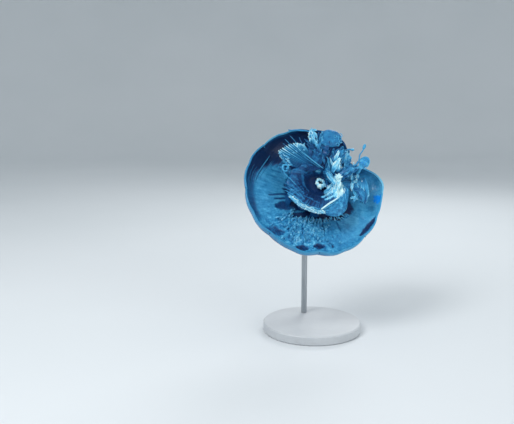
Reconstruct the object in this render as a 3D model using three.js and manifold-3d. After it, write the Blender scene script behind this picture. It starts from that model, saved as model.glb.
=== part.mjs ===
// A life-size museum model of a root-mouthed jellyfish on a display stand, in millimetres, with +Z up.
// The origin is the middle of the stand's underside, and the front of the model faces -Y.
//
// The medusa is built in the bell's own frame and then leant over on its rod: u and v lie in the plane
// of the bell's margin, and o points from that plane out of the bell's mouth side. Bearings and
// headings are degrees about o, from u towards v.
import * as THREE from "three";
import { mergeVertices } from "three/addons/utils/BufferGeometryUtils.js";
import Module from "manifold-3d";

const wasm = await Module();
wasm.setup();

// ---------------------------------------------------------------- driving dimensions

const BELL_RADIUS = 119;
const CROWN_HEIGHT = 52; // from the margin's plane to the top of the bell
const HOLLOW_DEPTH = 30; // from the margin's plane to the ceiling of the hollow
const MARGIN_WALL = 2.6; // thickness of the bell at its edge
const MARGIN_CURL = 98; // degrees along the bell's curve at which the edge ends: past 90 it turns in
const CROWN_EDGE = 38; // degrees along the same curve where the crown meets the lobes
const SHAPED_BY_HEIGHT = 74; // degrees along it past which only height shapes both faces

const LOBES = 8;
const FIRST_NOTCH = -58; // bearing of one of the notches between lobes
const NOTCH_DEPTH = 5;
const CLEFT_DEPTH = 2.5; // the shallow dip between the two lappets of a lobe
// Where the beating bell is drawn in or spread: bearing, half width in degrees, share of the radius.
const PULSE = [
  { bearing: 38, spread: 12, share: 0.085 },
  { bearing: 70, spread: 14, share: -0.25 },
  { bearing: 268, spread: 14, share: -0.03 },
  { bearing: 302, spread: 9, share: -0.03 },
  { bearing: 192, spread: 30, share: 0.025 },
];

const DISC_MIDDLE = { u: -4, v: 0 }; // the arm disc's outline is an ellipse round this point
const DISC_REACH = { u: 46, v: 44 };
const MOUTH_MIDDLE = { u: 1, v: 19 };
const MOUTH_FLOOR = -7;

const CUT = 0.4; // gap between neighbouring pieces

const BELL_HEIGHT = 245; // of the margin's middle above the table
const LEAN = 30; // degrees between the mouth side's direction and the way the model faces
const LEAN_TOWARDS = 60; // the way it leans, in degrees from level to upright as seen from the front
const FACING_RISE = 8; // degrees that the model faces upwards

const BASE_RADIUS = 85;
const BASE_THICKNESS = 16;
const BASE_BEVEL = 2;
const ROD_RADIUS = 5;
const PAD_RADIUS = 20;
const PAD_THICKNESS = 7;

// ---------------------------------------------------------------- small helpers

const radians = THREE.MathUtils.degToRad;
const degrees = THREE.MathUtils.radToDeg;
const mix = THREE.MathUtils.lerp;
const smooth = THREE.MathUtils.smoothstep;
const clamp = THREE.MathUtils.clamp;
const vector = (u, v, o) => new THREE.Vector3(u, v, o);
const towards = (bearing) => vector(Math.cos(radians(bearing)), Math.sin(radians(bearing)), 0);

// 1 at a bearing and fading to 0 away from it.
function bumpAt(bearing, centre, spread) {
  const away = THREE.MathUtils.euclideanModulo(bearing - centre + 180, 360) - 180;
  return Math.exp(-((away / spread) ** 2));
}

// A line through evenly spaced stations, at a share of its run.
function alongStations(values, run) {
  const place = clamp(run, 0, 1) * (values.length - 1);
  const i = Math.min(Math.floor(place), values.length - 2);
  return mix(values[i], values[i + 1], place - i);
}

// ---------------------------------------------------------------- closed meshes

// A geometry from triangles, turned to face outwards, without those closed up at a pole.
function geometryOf(triangles) {
  const least = 1e-3;
  const kept = triangles.filter(
    ([a, b, c]) => a.distanceTo(b) > least && b.distanceTo(c) > least && c.distanceTo(a) > least,
  );
  const volume = kept.reduce((sum, [a, b, c]) => sum + a.dot(b.clone().cross(c)), 0);
  const corners = kept.flatMap(([a, b, c]) => (volume < 0 ? [a, c, b] : [a, b, c]));
  return new THREE.BufferGeometry().setFromPoints(corners);
}

function quad(a, b, c, d) {
  return [
    [a, b, c],
    [a, c, d],
  ];
}

// A closed body of rings: place(turn, run) has turn from 0 to 1 round a ring, and the first and last
// rings shrink to a point.
function ringed(place, around, along) {
  const rings = Array.from({ length: along + 1 }, (_, j) =>
    Array.from({ length: around }, (_, i) => place(i / around, j / along)),
  );
  const triangles = [];
  for (let j = 0; j < along; j++)
    for (let i = 0; i < around; i++) {
      const next = (i + 1) % around;
      triangles.push(...quad(rings[j][i], rings[j][next], rings[j + 1][next], rings[j + 1][i]));
    }
  return geometryOf(triangles);
}

// A closed body between two sheets, near(a, b) and far(a, b), with a and b from 0 to 1. In a round
// slab the a edges meet, and its first b edge is one point on each sheet.
function slab(near, far, across, along, round = false) {
  const grid = (sheet) =>
    Array.from({ length: along + 1 }, (_, j) =>
      Array.from({ length: across + 1 }, (_, i) => sheet(round && i === across ? 0 : i / across, j / along)),
    );
  const [n, f] = [grid(near), grid(far)];
  const triangles = [];
  for (let j = 0; j < along; j++)
    for (let i = 0; i < across; i++) {
      triangles.push(...quad(n[j][i], n[j][i + 1], n[j + 1][i + 1], n[j + 1][i]));
      triangles.push(...quad(f[j][i], f[j + 1][i], f[j + 1][i + 1], f[j][i + 1]));
    }
  for (let i = 0; i < across; i++) {
    triangles.push(...quad(n[along][i], n[along][i + 1], f[along][i + 1], f[along][i]));
    if (!round) triangles.push(...quad(n[0][i + 1], n[0][i], f[0][i], f[0][i + 1]));
  }
  for (let j = 0; j < along && !round; j++) {
    triangles.push(...quad(n[j][0], n[j + 1][0], f[j + 1][0], f[j][0]));
    triangles.push(...quad(n[j + 1][across], n[j][across], f[j][across], f[j + 1][across]));
  }
  return geometryOf(triangles);
}

// ---------------------------------------------------------------- cutting

function solidOf(geometry) {
  const bare = geometry.clone();
  bare.deleteAttribute("normal");
  bare.deleteAttribute("uv");
  const merged = mergeVertices(bare, 1e-3);
  return new wasm.Manifold(
    new wasm.Mesh({
      numProp: 3,
      vertProperties: new Float32Array(merged.attributes.position.array),
      triVerts: new Uint32Array(merged.index.array),
    }),
  );
}

function geometryOfSolid(solid) {
  const mesh = solid.getMesh();
  const geometry = new THREE.BufferGeometry();
  geometry.setAttribute("position", new THREE.BufferAttribute(new Float32Array(mesh.vertProperties), 3));
  geometry.setIndex(new THREE.BufferAttribute(new Uint32Array(mesh.triVerts), 1));
  return geometry;
}

// The largest piece left of a body once its neighbours are cut away.
function cutBy(geometry, neighbours) {
  const left = neighbours.reduce((body, other) => body.subtract(other), solidOf(geometry));
  const pieces = left.decompose().sort((a, b) => b.volume() - a.volume());
  return geometryOfSolid(pieces[0].simplify(0.02));
}

// What a neighbour is cut by: a body together with the same body grown by the gap.
const clearance = (shape) => solidOf(shape(0)).add(solidOf(shape(CUT)));

// ---------------------------------------------------------------- the bell

function rimRadius(bearing) {
  const inLobe = Math.abs(Math.sin(radians((bearing - FIRST_NOTCH) * (LOBES / 2))));
  const pulse = PULSE.reduce((sum, p) => sum + p.share * bumpAt(bearing, p.bearing, p.spread), 0);
  return BELL_RADIUS * (1 + pulse) - NOTCH_DEPTH * (1 - inLobe) ** 2 - CLEFT_DEPTH * inLobe ** 20;
}

// A point of the bell's outer or inner face. arc is in degrees from the top of the bell to its edge.
// Past the crown the rim's outline takes hold by height, alike on both faces, so that the wall never
// thins out.
function bellPoint(bearing, arc, inner, grown = 0) {
  const drop = ((inner ? HOLLOW_DEPTH : CROWN_HEIGHT) / CROWN_HEIGHT) * Math.cos(radians(arc));
  const outerArc = mix(arc, degrees(Math.acos(drop)), smooth(arc, CROWN_EDGE, SHAPED_BY_HEIGHT));
  const towardsRim = Math.min(outerArc / 90, 1) ** 3;
  const radius = mix(BELL_RADIUS, rimRadius(bearing), towardsRim) + (inner ? -MARGIN_WALL - grown : grown);
  const height = inner ? HOLLOW_DEPTH - grown : CROWN_HEIGHT + grown;
  return towards(bearing)
    .multiplyScalar(radius * Math.sin(radians(arc)))
    .setZ(-height * Math.cos(radians(arc)));
}

// The crown is the thick middle of the bell.
function crownGeometry(grown) {
  const sheet = (inner) => (a, b) => bellPoint(a * 360, b * (CROWN_EDGE + grown), inner, grown);
  return slab(sheet(false), sheet(true), 40, 4, true);
}

function lobeGeometry(number) {
  const sweep = 360 / LOBES;
  const start = FIRST_NOTCH + number * sweep;
  const firstArc = CROWN_EDGE + degrees(CUT / CROWN_HEIGHT);
  const sheet = (inner) => (a, b) => {
    const arc = mix(firstArc, MARGIN_CURL, b);
    const sideways = degrees(CUT / 2 / (BELL_RADIUS * Math.sin(radians(arc))));
    return bellPoint(start + mix(sideways, sweep - sideways, a), arc, inner);
  };
  return slab(sheet(false), sheet(true), 10, 5);
}

// A rhopalium is the small sense organ in each notch of the margin.
const RHOPALIUM = { length: 2.6, width: 1.5 };

function rhopaliumGeometry(number) {
  const bearing = FIRST_NOTCH + (number * 360) / LOBES;
  const edge = bellPoint(bearing, MARGIN_CURL, false);
  const geometry = new THREE.SphereGeometry(1, 8, 5);
  geometry.scale(RHOPALIUM.length, RHOPALIUM.width, RHOPALIUM.width);
  geometry.rotateZ(radians(bearing));
  geometry.translate(edge.x, edge.y, edge.z + RHOPALIUM.width + CUT);
  return geometryOfSolid(solidOf(geometry));
}

// ---------------------------------------------------------------- arm disc and pillars

// A point of the arm disc at a bearing, a share of the way out from a middle.
function discPoint(bearing, share, level, middle = DISC_MIDDLE) {
  const reach = towards(bearing).multiplyScalar(share);
  return vector(middle.u + DISC_REACH.u * reach.x, middle.v + DISC_REACH.v * reach.y, level);
}

// The disc's profile runs from the mouth's floor over the lip, and down round the stem to its foot.
const DISC_STATIONS = {
  share: [0, 0.3, 0.42, 0.56, 0.74, 0.88, 0.97, 1, 0.97, 0.84, 0.6, 0.42, 0.36, 0.38, 0],
  level: [MOUTH_FLOOR, MOUTH_FLOOR, -3, 6, 12, 14, 12, 7, 2, -3, -8, -14, -22, -34, -34],
  towardsMouth: [1, 1, 0.9, 0.7, 0.4, 0.1, 0, 0, 0, 0, 0, 0, 0, 0, 0],
};
const LIP_WAVES = 11;
const LIP_WAVE_SHARE = 0.035;

function discGeometry(grown) {
  const place = (turn, run) => {
    const bearing = turn * 360;
    const shift = alongStations(DISC_STATIONS.towardsMouth, run);
    const middle = {
      u: mix(DISC_MIDDLE.u, MOUTH_MIDDLE.u, shift),
      v: mix(DISC_MIDDLE.v, MOUTH_MIDDLE.v, shift),
    };
    const share = alongStations(DISC_STATIONS.share, run);
    const wave = 1 + LIP_WAVE_SHARE * smooth(share, 0.7, 1) * Math.sin(radians(bearing * LIP_WAVES));
    const level = alongStations(DISC_STATIONS.level, run) + (run > 0.5 ? -grown : grown);
    return discPoint(bearing, share * wave + (share ? grown / DISC_REACH.v : 0), level, middle);
  };
  return ringed(place, 40, DISC_STATIONS.share.length - 1);
}

// Four pillars carry the arm disc, and between them the pits under it are open.
const PILLARS = 4;
const FIRST_PILLAR = -45;
const PILLAR = { foot: 38, head: 31, halfWidth: 12, halfDepth: 4.5, footLevel: -32, headLevel: 2 };

function pillarGeometry(number) {
  const bearing = FIRST_PILLAR + (number * 360) / PILLARS;
  const place = (turn, run) => {
    const rise = clamp((run - 0.1) / 0.8, 0, 1);
    const size = run === 0 || run === 1 ? 0 : 1 - 0.3 * Math.sin(Math.PI * rise);
    const angle = radians(turn * 360);
    const out = mix(PILLAR.foot, PILLAR.head, rise) + PILLAR.halfDepth * size * Math.cos(angle);
    return vector(DISC_MIDDLE.u, DISC_MIDDLE.v, mix(PILLAR.footLevel, PILLAR.headLevel, rise))
      .addScaledVector(towards(bearing), out)
      .addScaledVector(towards(bearing + 90), PILLAR.halfWidth * size * Math.sin(angle));
  };
  return ringed(place, 10, 7);
}

// A small raised ring on the floor of the mouth.
const MOUTH_RING = { radius: 6.4, thickness: 2.2, u: 3, v: 22 };

function mouthRingGeometry() {
  const geometry = new THREE.TorusGeometry(MOUTH_RING.radius, MOUTH_RING.thickness, 6, 16);
  geometry.translate(MOUTH_RING.u, MOUTH_RING.v, MOUTH_FLOOR + MOUTH_RING.thickness + CUT);
  return geometryOfSolid(solidOf(geometry));
}

// ---------------------------------------------------------------- mouth arms

// Each arm leaves the arm disc at a bearing, a share of the way out. It walks for its length with a
// heading that turns from the first to the last, and rises as it goes. Widths are half widths from
// root to tip, and its edges ripple by a depth. A pleated arm is folded across its whole width like a
// fan, and an upright one stands on its edge.
const ARM_THICKNESS = 3;
const ARMS = [
  { root: 96, share: 0.8, level: 9, headings: [205, 152], length: 72, rise: 16,
    widths: [5, 16, 27], ripples: 9, depth: 3, pleated: true },
  { root: 116, share: 0.9, level: 6, headings: [108, 98], length: 58, rise: 32,
    widths: [9, 21, 22], ripples: 5, depth: 4 },
  { root: 76, share: 0.85, level: 6, headings: [92, 80], length: 46, rise: 26,
    widths: [8, 12, 9], ripples: 5, depth: 4 },
  { root: 55, share: 0.85, level: 6, headings: [64, 46], length: 44, rise: 22,
    widths: [7, 9, 6], ripples: 4, depth: 3.5 },
  { root: 28, share: 0.88, level: 4, headings: [92, -88], length: 78, rise: 6,
    widths: [7, 10, 9], ripples: 4, depth: 3 },
  { root: -10, share: 0.6, level: 9, headings: [-25, 15], length: 40, rise: -2,
    widths: [15, 19, 12], ripples: 3, depth: 2.5 },
  { root: -132, share: 0.95, level: 10, headings: [-28, 36], length: 70, rise: 4,
    widths: [5, 7, 5], ripples: 6, depth: 2.5, upright: true },
  { root: 176, share: 0.85, level: 6, headings: [176, 210], length: 28, rise: 10,
    widths: [7, 9, 6], ripples: 3, depth: 3 },
];

// The arm's midline at a share of its length, with its heading there.
function armMidline(arm, run) {
  const steps = 24;
  const at = discPoint(arm.root, arm.share, arm.level);
  let heading = arm.headings[0];
  for (let i = 0; i < steps * run; i++) {
    heading = mix(arm.headings[0], arm.headings[1], i / steps);
    at.addScaledVector(towards(heading), (Math.min(1, steps * run - i) * arm.length) / steps);
  }
  at.z += arm.rise * Math.sin((run * Math.PI) / 2);
  return { at, heading };
}

function rippleAt(arm, a, b) {
  const w = 2 * a - 1;
  if (arm.pleated) return Math.sin(a * arm.ripples * 2 * Math.PI) * arm.depth * (0.25 + 0.75 * b);
  const phase = w > 0 ? 1.2 : 0;
  return Math.sin(b * arm.ripples * 2 * Math.PI + phase) * arm.depth * w * w * smooth(b, 0, 0.3);
}

function armGeometry(arm, grown) {
  const sheet = (side) => (a, b) => {
    const { at, heading } = armMidline(arm, b);
    const [flat, up] = [towards(heading + 90), vector(0, 0, 1)];
    const [sideways, facing] = arm.upright ? [up, flat] : [flat, up];
    const w = 2 * a - 1;
    const half = (alongStations(arm.widths, b) + grown) * Math.sqrt(1 - 0.75 * smooth(b, 0.8, 1));
    const thickness = ARM_THICKNESS * mix(1, 0.45, arm.pleated ? 1 : w * w) + 2 * grown;
    return at
      .addScaledVector(sideways, w * half)
      .addScaledVector(facing, rippleAt(arm, a, b) + (side * thickness) / 2);
  };
  return arm.pleated ? slab(sheet(1), sheet(-1), 18, 4) : slab(sheet(1), sheet(-1), 5, 9);
}

// Two rounded lobes: the hood at the end of the second arm, and the flat paddle beyond the fourth.
const HOOD = { u: -21, v: 86, o: 37, long: 20, wide: 17, thick: 6, turn: 35 };
const PADDLE = { u: 49, v: 80, o: 29, long: 15, wide: 9, thick: 2.4, turn: 84 };

function lobeOf(shape, grown, around, along) {
  const place = (turn, run) => {
    const [polar, round] = [run * Math.PI, turn * 2 * Math.PI];
    const size = (measure) => (shape[measure] + grown) * Math.sin(polar);
    return vector(shape.u, shape.v, shape.o + (shape.thick + grown) * Math.cos(polar))
      .addScaledVector(towards(shape.turn), size("long") * Math.cos(round))
      .addScaledVector(towards(shape.turn + 90), size("wide") * Math.sin(round));
  };
  return ringed(place, around, along);
}

// Thin filaments that end in a small club: where each starts, how it heads, its length and its rise.
const FILAMENT_RADIUS = 0.8;
const CLUB_RADIUS = 2.4;
const FILAMENTS = [
  { from: [38, 64, 27], headings: [98, 88], length: 40, rise: 13 },
  { from: [9, 80, 31], headings: [48, 30], length: 18, rise: 4 },
  { from: [-50, 84, 38], headings: [206, 212], length: 46, rise: -8 },
  { from: [-58, -6, 18], headings: [336, 348], length: 30, rise: -1 },
];

function filamentGeometry(filament) {
  const place = (turn, run) => {
    const heading = mix(filament.headings[0], filament.headings[1], run / 2);
    const walk = towards(heading).multiplyScalar(filament.length);
    const sideways = towards(heading + 90);
    const upwards = walk.clone().setZ(filament.rise).normalize().cross(sideways);
    const club = bumpAt(run, 0.9, 0.07) * (CLUB_RADIUS - FILAMENT_RADIUS);
    const radius = run === 0 || run === 1 ? 0 : FILAMENT_RADIUS + club;
    const angle = radians(turn * 360);
    return vector(...filament.from)
      .addScaledVector(walk.setZ(filament.rise), run)
      .addScaledVector(sideways, radius * Math.cos(angle))
      .addScaledVector(upwards, radius * Math.sin(angle));
  };
  return ringed(place, 6, 16);
}

// ---------------------------------------------------------------- stand

// The way the medusa leans: its mouth side faces forwards, up and to the right.
function leanMatrix() {
  const rise = radians(FACING_RISE);
  const right = vector(1, 0, 0);
  const away = vector(0, Math.cos(rise), -Math.sin(rise));
  const up = vector(0, Math.sin(rise), Math.cos(rise));
  const [level, upright] = [Math.cos(radians(LEAN_TOWARDS)), Math.sin(radians(LEAN_TOWARDS))];
  const side = right.clone().multiplyScalar(level).addScaledVector(up, upright);
  const u = right.clone().multiplyScalar(upright).addScaledVector(up, -level);
  const [c, s] = [Math.cos(radians(LEAN)), Math.sin(radians(LEAN))];
  const v = side.clone().multiplyScalar(c).addScaledVector(away, s);
  const o = side.clone().multiplyScalar(s).addScaledVector(away, -c);
  return new THREE.Matrix4().makeBasis(u, v, o).setPosition(0, 0, BELL_HEIGHT);
}

// A flat-ended disc or rod that stands on z = 0.
function turned(radius, height, bevel, sides) {
  const profile = [
    [0, 0],
    [radius - bevel, 0],
    [radius, bevel],
    [radius, height - bevel],
    [radius - bevel, height],
    [0, height],
  ].map(([r, z]) => new THREE.Vector2(r, z));
  const lathe = new THREE.LatheGeometry(profile, sides);
  lathe.rotateX(Math.PI / 2);
  return lathe;
}

// The pad lies on top of the crown, at the middle of the bell's outer face.
function padGeometry() {
  const sunk = 4; // how far its rim reaches down round the crown before it is cut to fit
  const pad = turned(PAD_RADIUS, PAD_THICKNESS + sunk, 1.5, 32);
  pad.translate(0, 0, -CROWN_HEIGHT - PAD_THICKNESS);
  return pad;
}

// The rod rises from the base to the middle of the pad's back.
function rodGeometry(padBack) {
  const rod = turned(ROD_RADIUS, padBack.z - BASE_THICKNESS - CUT, 0.4, 20);
  rod.translate(padBack.x, padBack.y, BASE_THICKNESS + CUT);
  return rod;
}

// ---------------------------------------------------------------- the model

const material = (name, color, roughness, metalness = 0) =>
  new THREE.MeshStandardMaterial({ name, color, roughness, metalness });
const materials = {
  bell: material("bell", 0x5aa6cc, 0.25),
  frill: material("frill", 0xa9e2f2, 0.35),
  base: material("base", 0xd9dadb, 0.5),
  steel: material("steel", 0xc4c7ca, 0.3, 1),
};

function node(name, geometry, finish) {
  const mesh = new THREE.Mesh(geometry, finish);
  mesh.name = name;
  return mesh;
}

const lean = leanMatrix();
const medusa = new THREE.Group();
medusa.applyMatrix4(lean);

const aroundCrown = clearance(crownGeometry);
const aroundDisc = clearance(discGeometry);
medusa.add(node("bell_crown", crownGeometry(0), materials.bell));
medusa.add(node("arm_disc", cutBy(discGeometry(0), [aroundCrown]), materials.frill));
medusa.add(node("mouth_ring", mouthRingGeometry(), materials.frill));
for (let i = 0; i < LOBES; i++) {
  medusa.add(node(`bell_lobe_${i + 1}`, lobeGeometry(i), materials.bell));
  medusa.add(node(`rhopalium_${i + 1}`, rhopaliumGeometry(i), materials.frill));
}
for (let i = 0; i < PILLARS; i++) {
  const pillar = cutBy(pillarGeometry(i), [aroundCrown, aroundDisc]);
  medusa.add(node(`pillar_${i + 1}`, pillar, materials.bell));
}

// Each of these gives way to the ones laid before it.
const laid = [aroundDisc];
function lay(name, shape) {
  medusa.add(node(name, cutBy(shape(0), laid), materials.frill));
  laid.push(clearance(shape));
}
ARMS.forEach((arm, i) => lay(`mouth_arm_${i + 1}`, (grown) => armGeometry(arm, grown)));
lay("hood", (grown) => lobeOf(HOOD, grown, 14, 8));
lay("paddle", (grown) => lobeOf(PADDLE, grown, 12, 6));
FILAMENTS.forEach((filament, i) => {
  medusa.add(node(`filament_${i + 1}`, cutBy(filamentGeometry(filament), laid), materials.frill));
});

const pad = cutBy(padGeometry(), [aroundCrown]);
medusa.add(node("stand_pad", pad, materials.steel));

const padBack = vector(0, 0, -CROWN_HEIGHT - PAD_THICKNESS + 1).applyMatrix4(lean);
const aroundPad = solidOf(padGeometry().applyMatrix4(lean));
const model = new THREE.Group();
model.add(medusa);
model.add(node("stand_base", turned(BASE_RADIUS, BASE_THICKNESS, BASE_BEVEL, 40), materials.base));
model.add(node("stand_rod", cutBy(rodGeometry(padBack), [aroundPad]), materials.steel));

export default model;
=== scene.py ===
"""A life-size museum model of a root-mouthed jellyfish, leaning on its display stand.

The medusa is shaped in millimetres in the bell's own frame, as it was drawn up: u and v lie in the
plane of the bell's margin, and o points out of its mouth side. Bearings and headings are degrees
about o, from u towards v. Each finished mesh is then leant over into the model's frame, in metres.
Folds that are told one by one are laid out as they show from the front: x and y on the page, in
pixels, and their height o above the margin's plane, in millimetres.
"""

import math
import random

import bmesh
import bpy
from mathutils import Euler, Matrix, Vector, noise


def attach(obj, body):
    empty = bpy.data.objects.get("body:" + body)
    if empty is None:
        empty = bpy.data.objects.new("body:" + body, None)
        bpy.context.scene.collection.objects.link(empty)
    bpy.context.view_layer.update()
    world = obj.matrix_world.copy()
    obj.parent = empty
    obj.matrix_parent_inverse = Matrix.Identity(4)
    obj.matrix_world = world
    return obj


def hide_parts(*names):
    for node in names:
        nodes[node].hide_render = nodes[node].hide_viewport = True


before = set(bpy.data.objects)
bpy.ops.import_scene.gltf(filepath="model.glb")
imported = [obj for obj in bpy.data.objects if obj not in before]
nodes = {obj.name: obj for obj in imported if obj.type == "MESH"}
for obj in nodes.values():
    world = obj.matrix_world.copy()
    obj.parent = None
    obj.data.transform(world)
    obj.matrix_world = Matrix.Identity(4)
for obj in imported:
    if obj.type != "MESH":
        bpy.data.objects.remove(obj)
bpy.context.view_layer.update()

# ---------------------------------------------------------------- driving dimensions, in millimetres

BELL_RADIUS = 119
CROWN_HEIGHT = 52
HOLLOW_DEPTH = 30
MARGIN_WALL = 2.6
MARGIN_CURL = 98
LOBES = 8
FIRST_NOTCH = -58
SKIN_RADIUS = 118.5  # a little inside the drawn bell, to leave room for lumps
NOTCH_DEPTH = 3
CLEFT_DEPTH = 1.5
PULSE = [(38, 12, 0.077), (70, 14, -0.25), (268, 14, -0.03), (302, 9, -0.03), (192, 30, 0.025)]

DISC_MIDDLE = (-4, 0)
DISC_REACH = (46, 44)
MOUTH_MIDDLE = (1, 19)
MOUTH_FLOOR = -7

BELL_HEIGHT = 245
LEAN = 30
LEAN_TOWARDS = 60
FACING_RISE = 8

MM = 0.001
PAGE = (514, 424)  # the page's width and height in pixels
BELL_ON_PAGE = (313.5, 191)  # where the middle of the bell's margin shows
LENS = 50
SENSOR = 36
CAMERA_DISTANCE = 1.215
CAMERA_RISE = 8  # degrees above the bell

SEED = 11
random.seed(SEED)
noise.seed_set(SEED)  # vector noise takes its offsets from a generator of its own

# ---------------------------------------------------------------- small helpers


def mix(a, b, share):
    return a + (b - a) * share


def smooth(value, low, high):
    share = min(max((value - low) / (high - low), 0), 1)
    return share * share * (3 - 2 * share)


def towards(bearing):
    turned = math.radians(bearing)
    return Vector((math.cos(turned), math.sin(turned), 0))


def away_from(bearing, centre):
    return (bearing - centre + 180) % 360 - 180


def bump_at(bearing, centre, spread):
    return math.exp(-((away_from(bearing, centre) / spread) ** 2))


def through(stations, share):
    """A smooth curve through evenly spaced stations."""
    place = min(max(share, 0), 1) * (len(stations) - 1)
    i = min(int(place), len(stations) - 2)
    t = place - i
    before = stations[max(i - 1, 0)]
    first, second = stations[i], stations[i + 1]
    after = stations[min(i + 2, len(stations) - 1)]
    lean_in, lean_out = (second - before) / 2, (after - first) / 2
    return (
        (2 * t**3 - 3 * t**2 + 1) * first
        + (t**3 - 2 * t**2 + t) * lean_in
        + (3 * t**2 - 2 * t**3) * second
        + (t**3 - t**2) * lean_out
    )


def around(stations, bearing):
    """A value that changes smoothly round the bell, from pairs of bearing and value."""
    turned = (bearing - stations[0][0]) % 360 + stations[0][0]
    ring = stations + [(stations[0][0] + 360, stations[0][1])]
    for (start, low), (end, high) in zip(ring, ring[1:]):
        if start <= turned <= end:
            return mix(low, high, smooth(turned, start, end))
    return stations[0][1]


def rough(place, size, seed=0):
    """Smooth noise from -1 to 1, with lumps about this size."""
    return noise.noise(Vector(place) / size + Vector((seed * 7.3, seed * 3.1, seed * 5.7)))


def off_line(point, start, end):
    """How far a point is from a line between two others, and its share of the way along it."""
    way = end - start
    share = min(max((point - start).dot(way) / way.length_squared, 0), 1)
    return (point - start - way * share).length, share


def lean_matrix():
    """From the bell's frame in millimetres to the model's frame in metres."""
    rise, back = math.radians(FACING_RISE), math.radians(LEAN)
    side_turn = math.radians(LEAN_TOWARDS)
    right = Vector((1, 0, 0))
    away = Vector((0, math.cos(rise), -math.sin(rise)))
    up = Vector((0, math.sin(rise), math.cos(rise)))
    side = right * math.cos(side_turn) + up * math.sin(side_turn)
    u = right * math.sin(side_turn) - up * math.cos(side_turn)
    v = side * math.cos(back) + away * math.sin(back)
    o = side * math.sin(back) - away * math.cos(back)
    turn = Matrix((u, v, o)).transposed().to_4x4()
    return Matrix.Translation((0, 0, BELL_HEIGHT * MM)) @ Matrix.Scale(MM, 4) @ turn


LEAN_OVER = lean_matrix()
BELL_MIDDLE = Vector((0, 0, BELL_HEIGHT * MM))
FOCAL = LENS / SENSOR * PAGE[0]


def camera_place():
    rise = math.radians(CAMERA_RISE)
    return BELL_MIDDLE + Vector((0, -math.cos(rise), math.sin(rise))) * CAMERA_DISTANCE


def camera_turn():
    """Turns the camera until the bell shows in its place on the page."""
    across = (BELL_ON_PAGE[0] - PAGE[0] / 2) / FOCAL
    above = (PAGE[1] / 2 - BELL_ON_PAGE[1]) / FOCAL
    reach = math.sqrt(1 + across**2 + above**2)
    sunk = math.asin(reach * math.sin(math.radians(CAMERA_RISE)) / math.hypot(1, above))
    pitch = -sunk - math.atan(above)
    yaw = math.atan2(across, math.cos(pitch) - above * math.sin(pitch))
    return Euler((math.radians(90) + pitch, 0, yaw))


BACK_TO_BELL = LEAN_OVER.inverted()
EYE = BACK_TO_BELL @ camera_place()
SIGHT = BACK_TO_BELL.to_3x3() @ camera_turn().to_matrix()


def seen_at(x, y, o):
    """The point at height o that shows at x and y on the page."""
    way = SIGHT @ Vector(((x - PAGE[0] / 2) / FOCAL, (PAGE[1] / 2 - y) / FOCAL, -1))
    return EYE + way * (o - EYE.z) / way.z


def hollow_level(reach):
    """The height of the hollow's face at a distance from the bell's middle."""
    return -HOLLOW_DEPTH * math.sqrt(max(1 - (reach / (BELL_RADIUS - MARGIN_WALL)) ** 2, 0))


def on_hollow(x, y, proud=0.0):
    """The point on the hollow's face that shows at x and y on the page."""
    level = -HOLLOW_DEPTH / 2
    for _ in range(30):
        point = seen_at(x, y, level)
        level = mix(level, hollow_level(point.xy.length), 0.5)
    return point + Vector((0, 0, proud))


# ---------------------------------------------------------------- materials


def colour(hex_code):
    """An sRGB hex colour as linear red, green, blue and alpha."""
    channels = [int(hex_code[i : i + 2], 16) / 255 for i in (0, 2, 4)]
    linear = [c / 12.92 if c <= 0.04045 else ((c + 0.055) / 1.055) ** 2.4 for c in channels]
    return (*linear, 1)


def add(tree, kind, inputs, stops=(), **settings):
    """Adds a node with its settings, its colour stops if it has any, and its values or links."""
    made = tree.nodes.new("ShaderNode" + kind)
    for name, value in settings.items():
        setattr(made, name, value)
    for i, (place, hex_code) in enumerate(stops):
        point = made.color_ramp.elements[i] if i < 2 else made.color_ramp.elements.new(place)
        point.position = place
        point.color = colour(hex_code)
    for name, value in inputs.items():
        if isinstance(value, bpy.types.NodeSocket):
            tree.links.new(value, made.inputs[name])
        else:
            made.inputs[name].default_value = value
    return made


def begin(name, **values):
    """A new material with its node tree and its surface, whose plain values are set."""
    material = bpy.data.materials.new(name)
    material.use_nodes = True
    surface = material.node_tree.nodes["Principled BSDF"]
    for socket, value in values.items():
        surface.inputs[socket.replace("_", " ")].default_value = value
    return material, material.node_tree, surface


# From clear jelly over dark water, through milky tissue, to free edges folded on themselves.
TISSUE_COLOURS = [
    (0.0, "102a55"),
    (1.0, "dcfcff"),
    (0.12, "143c6d"),
    (0.27, "1d5a8e"),
    (0.42, "2877aa"),
    (0.55, "358dc0"),
    (0.68, "4ca8d5"),
    (0.8, "77c8ea"),
    (0.9, "a6e4f7"),
]


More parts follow.
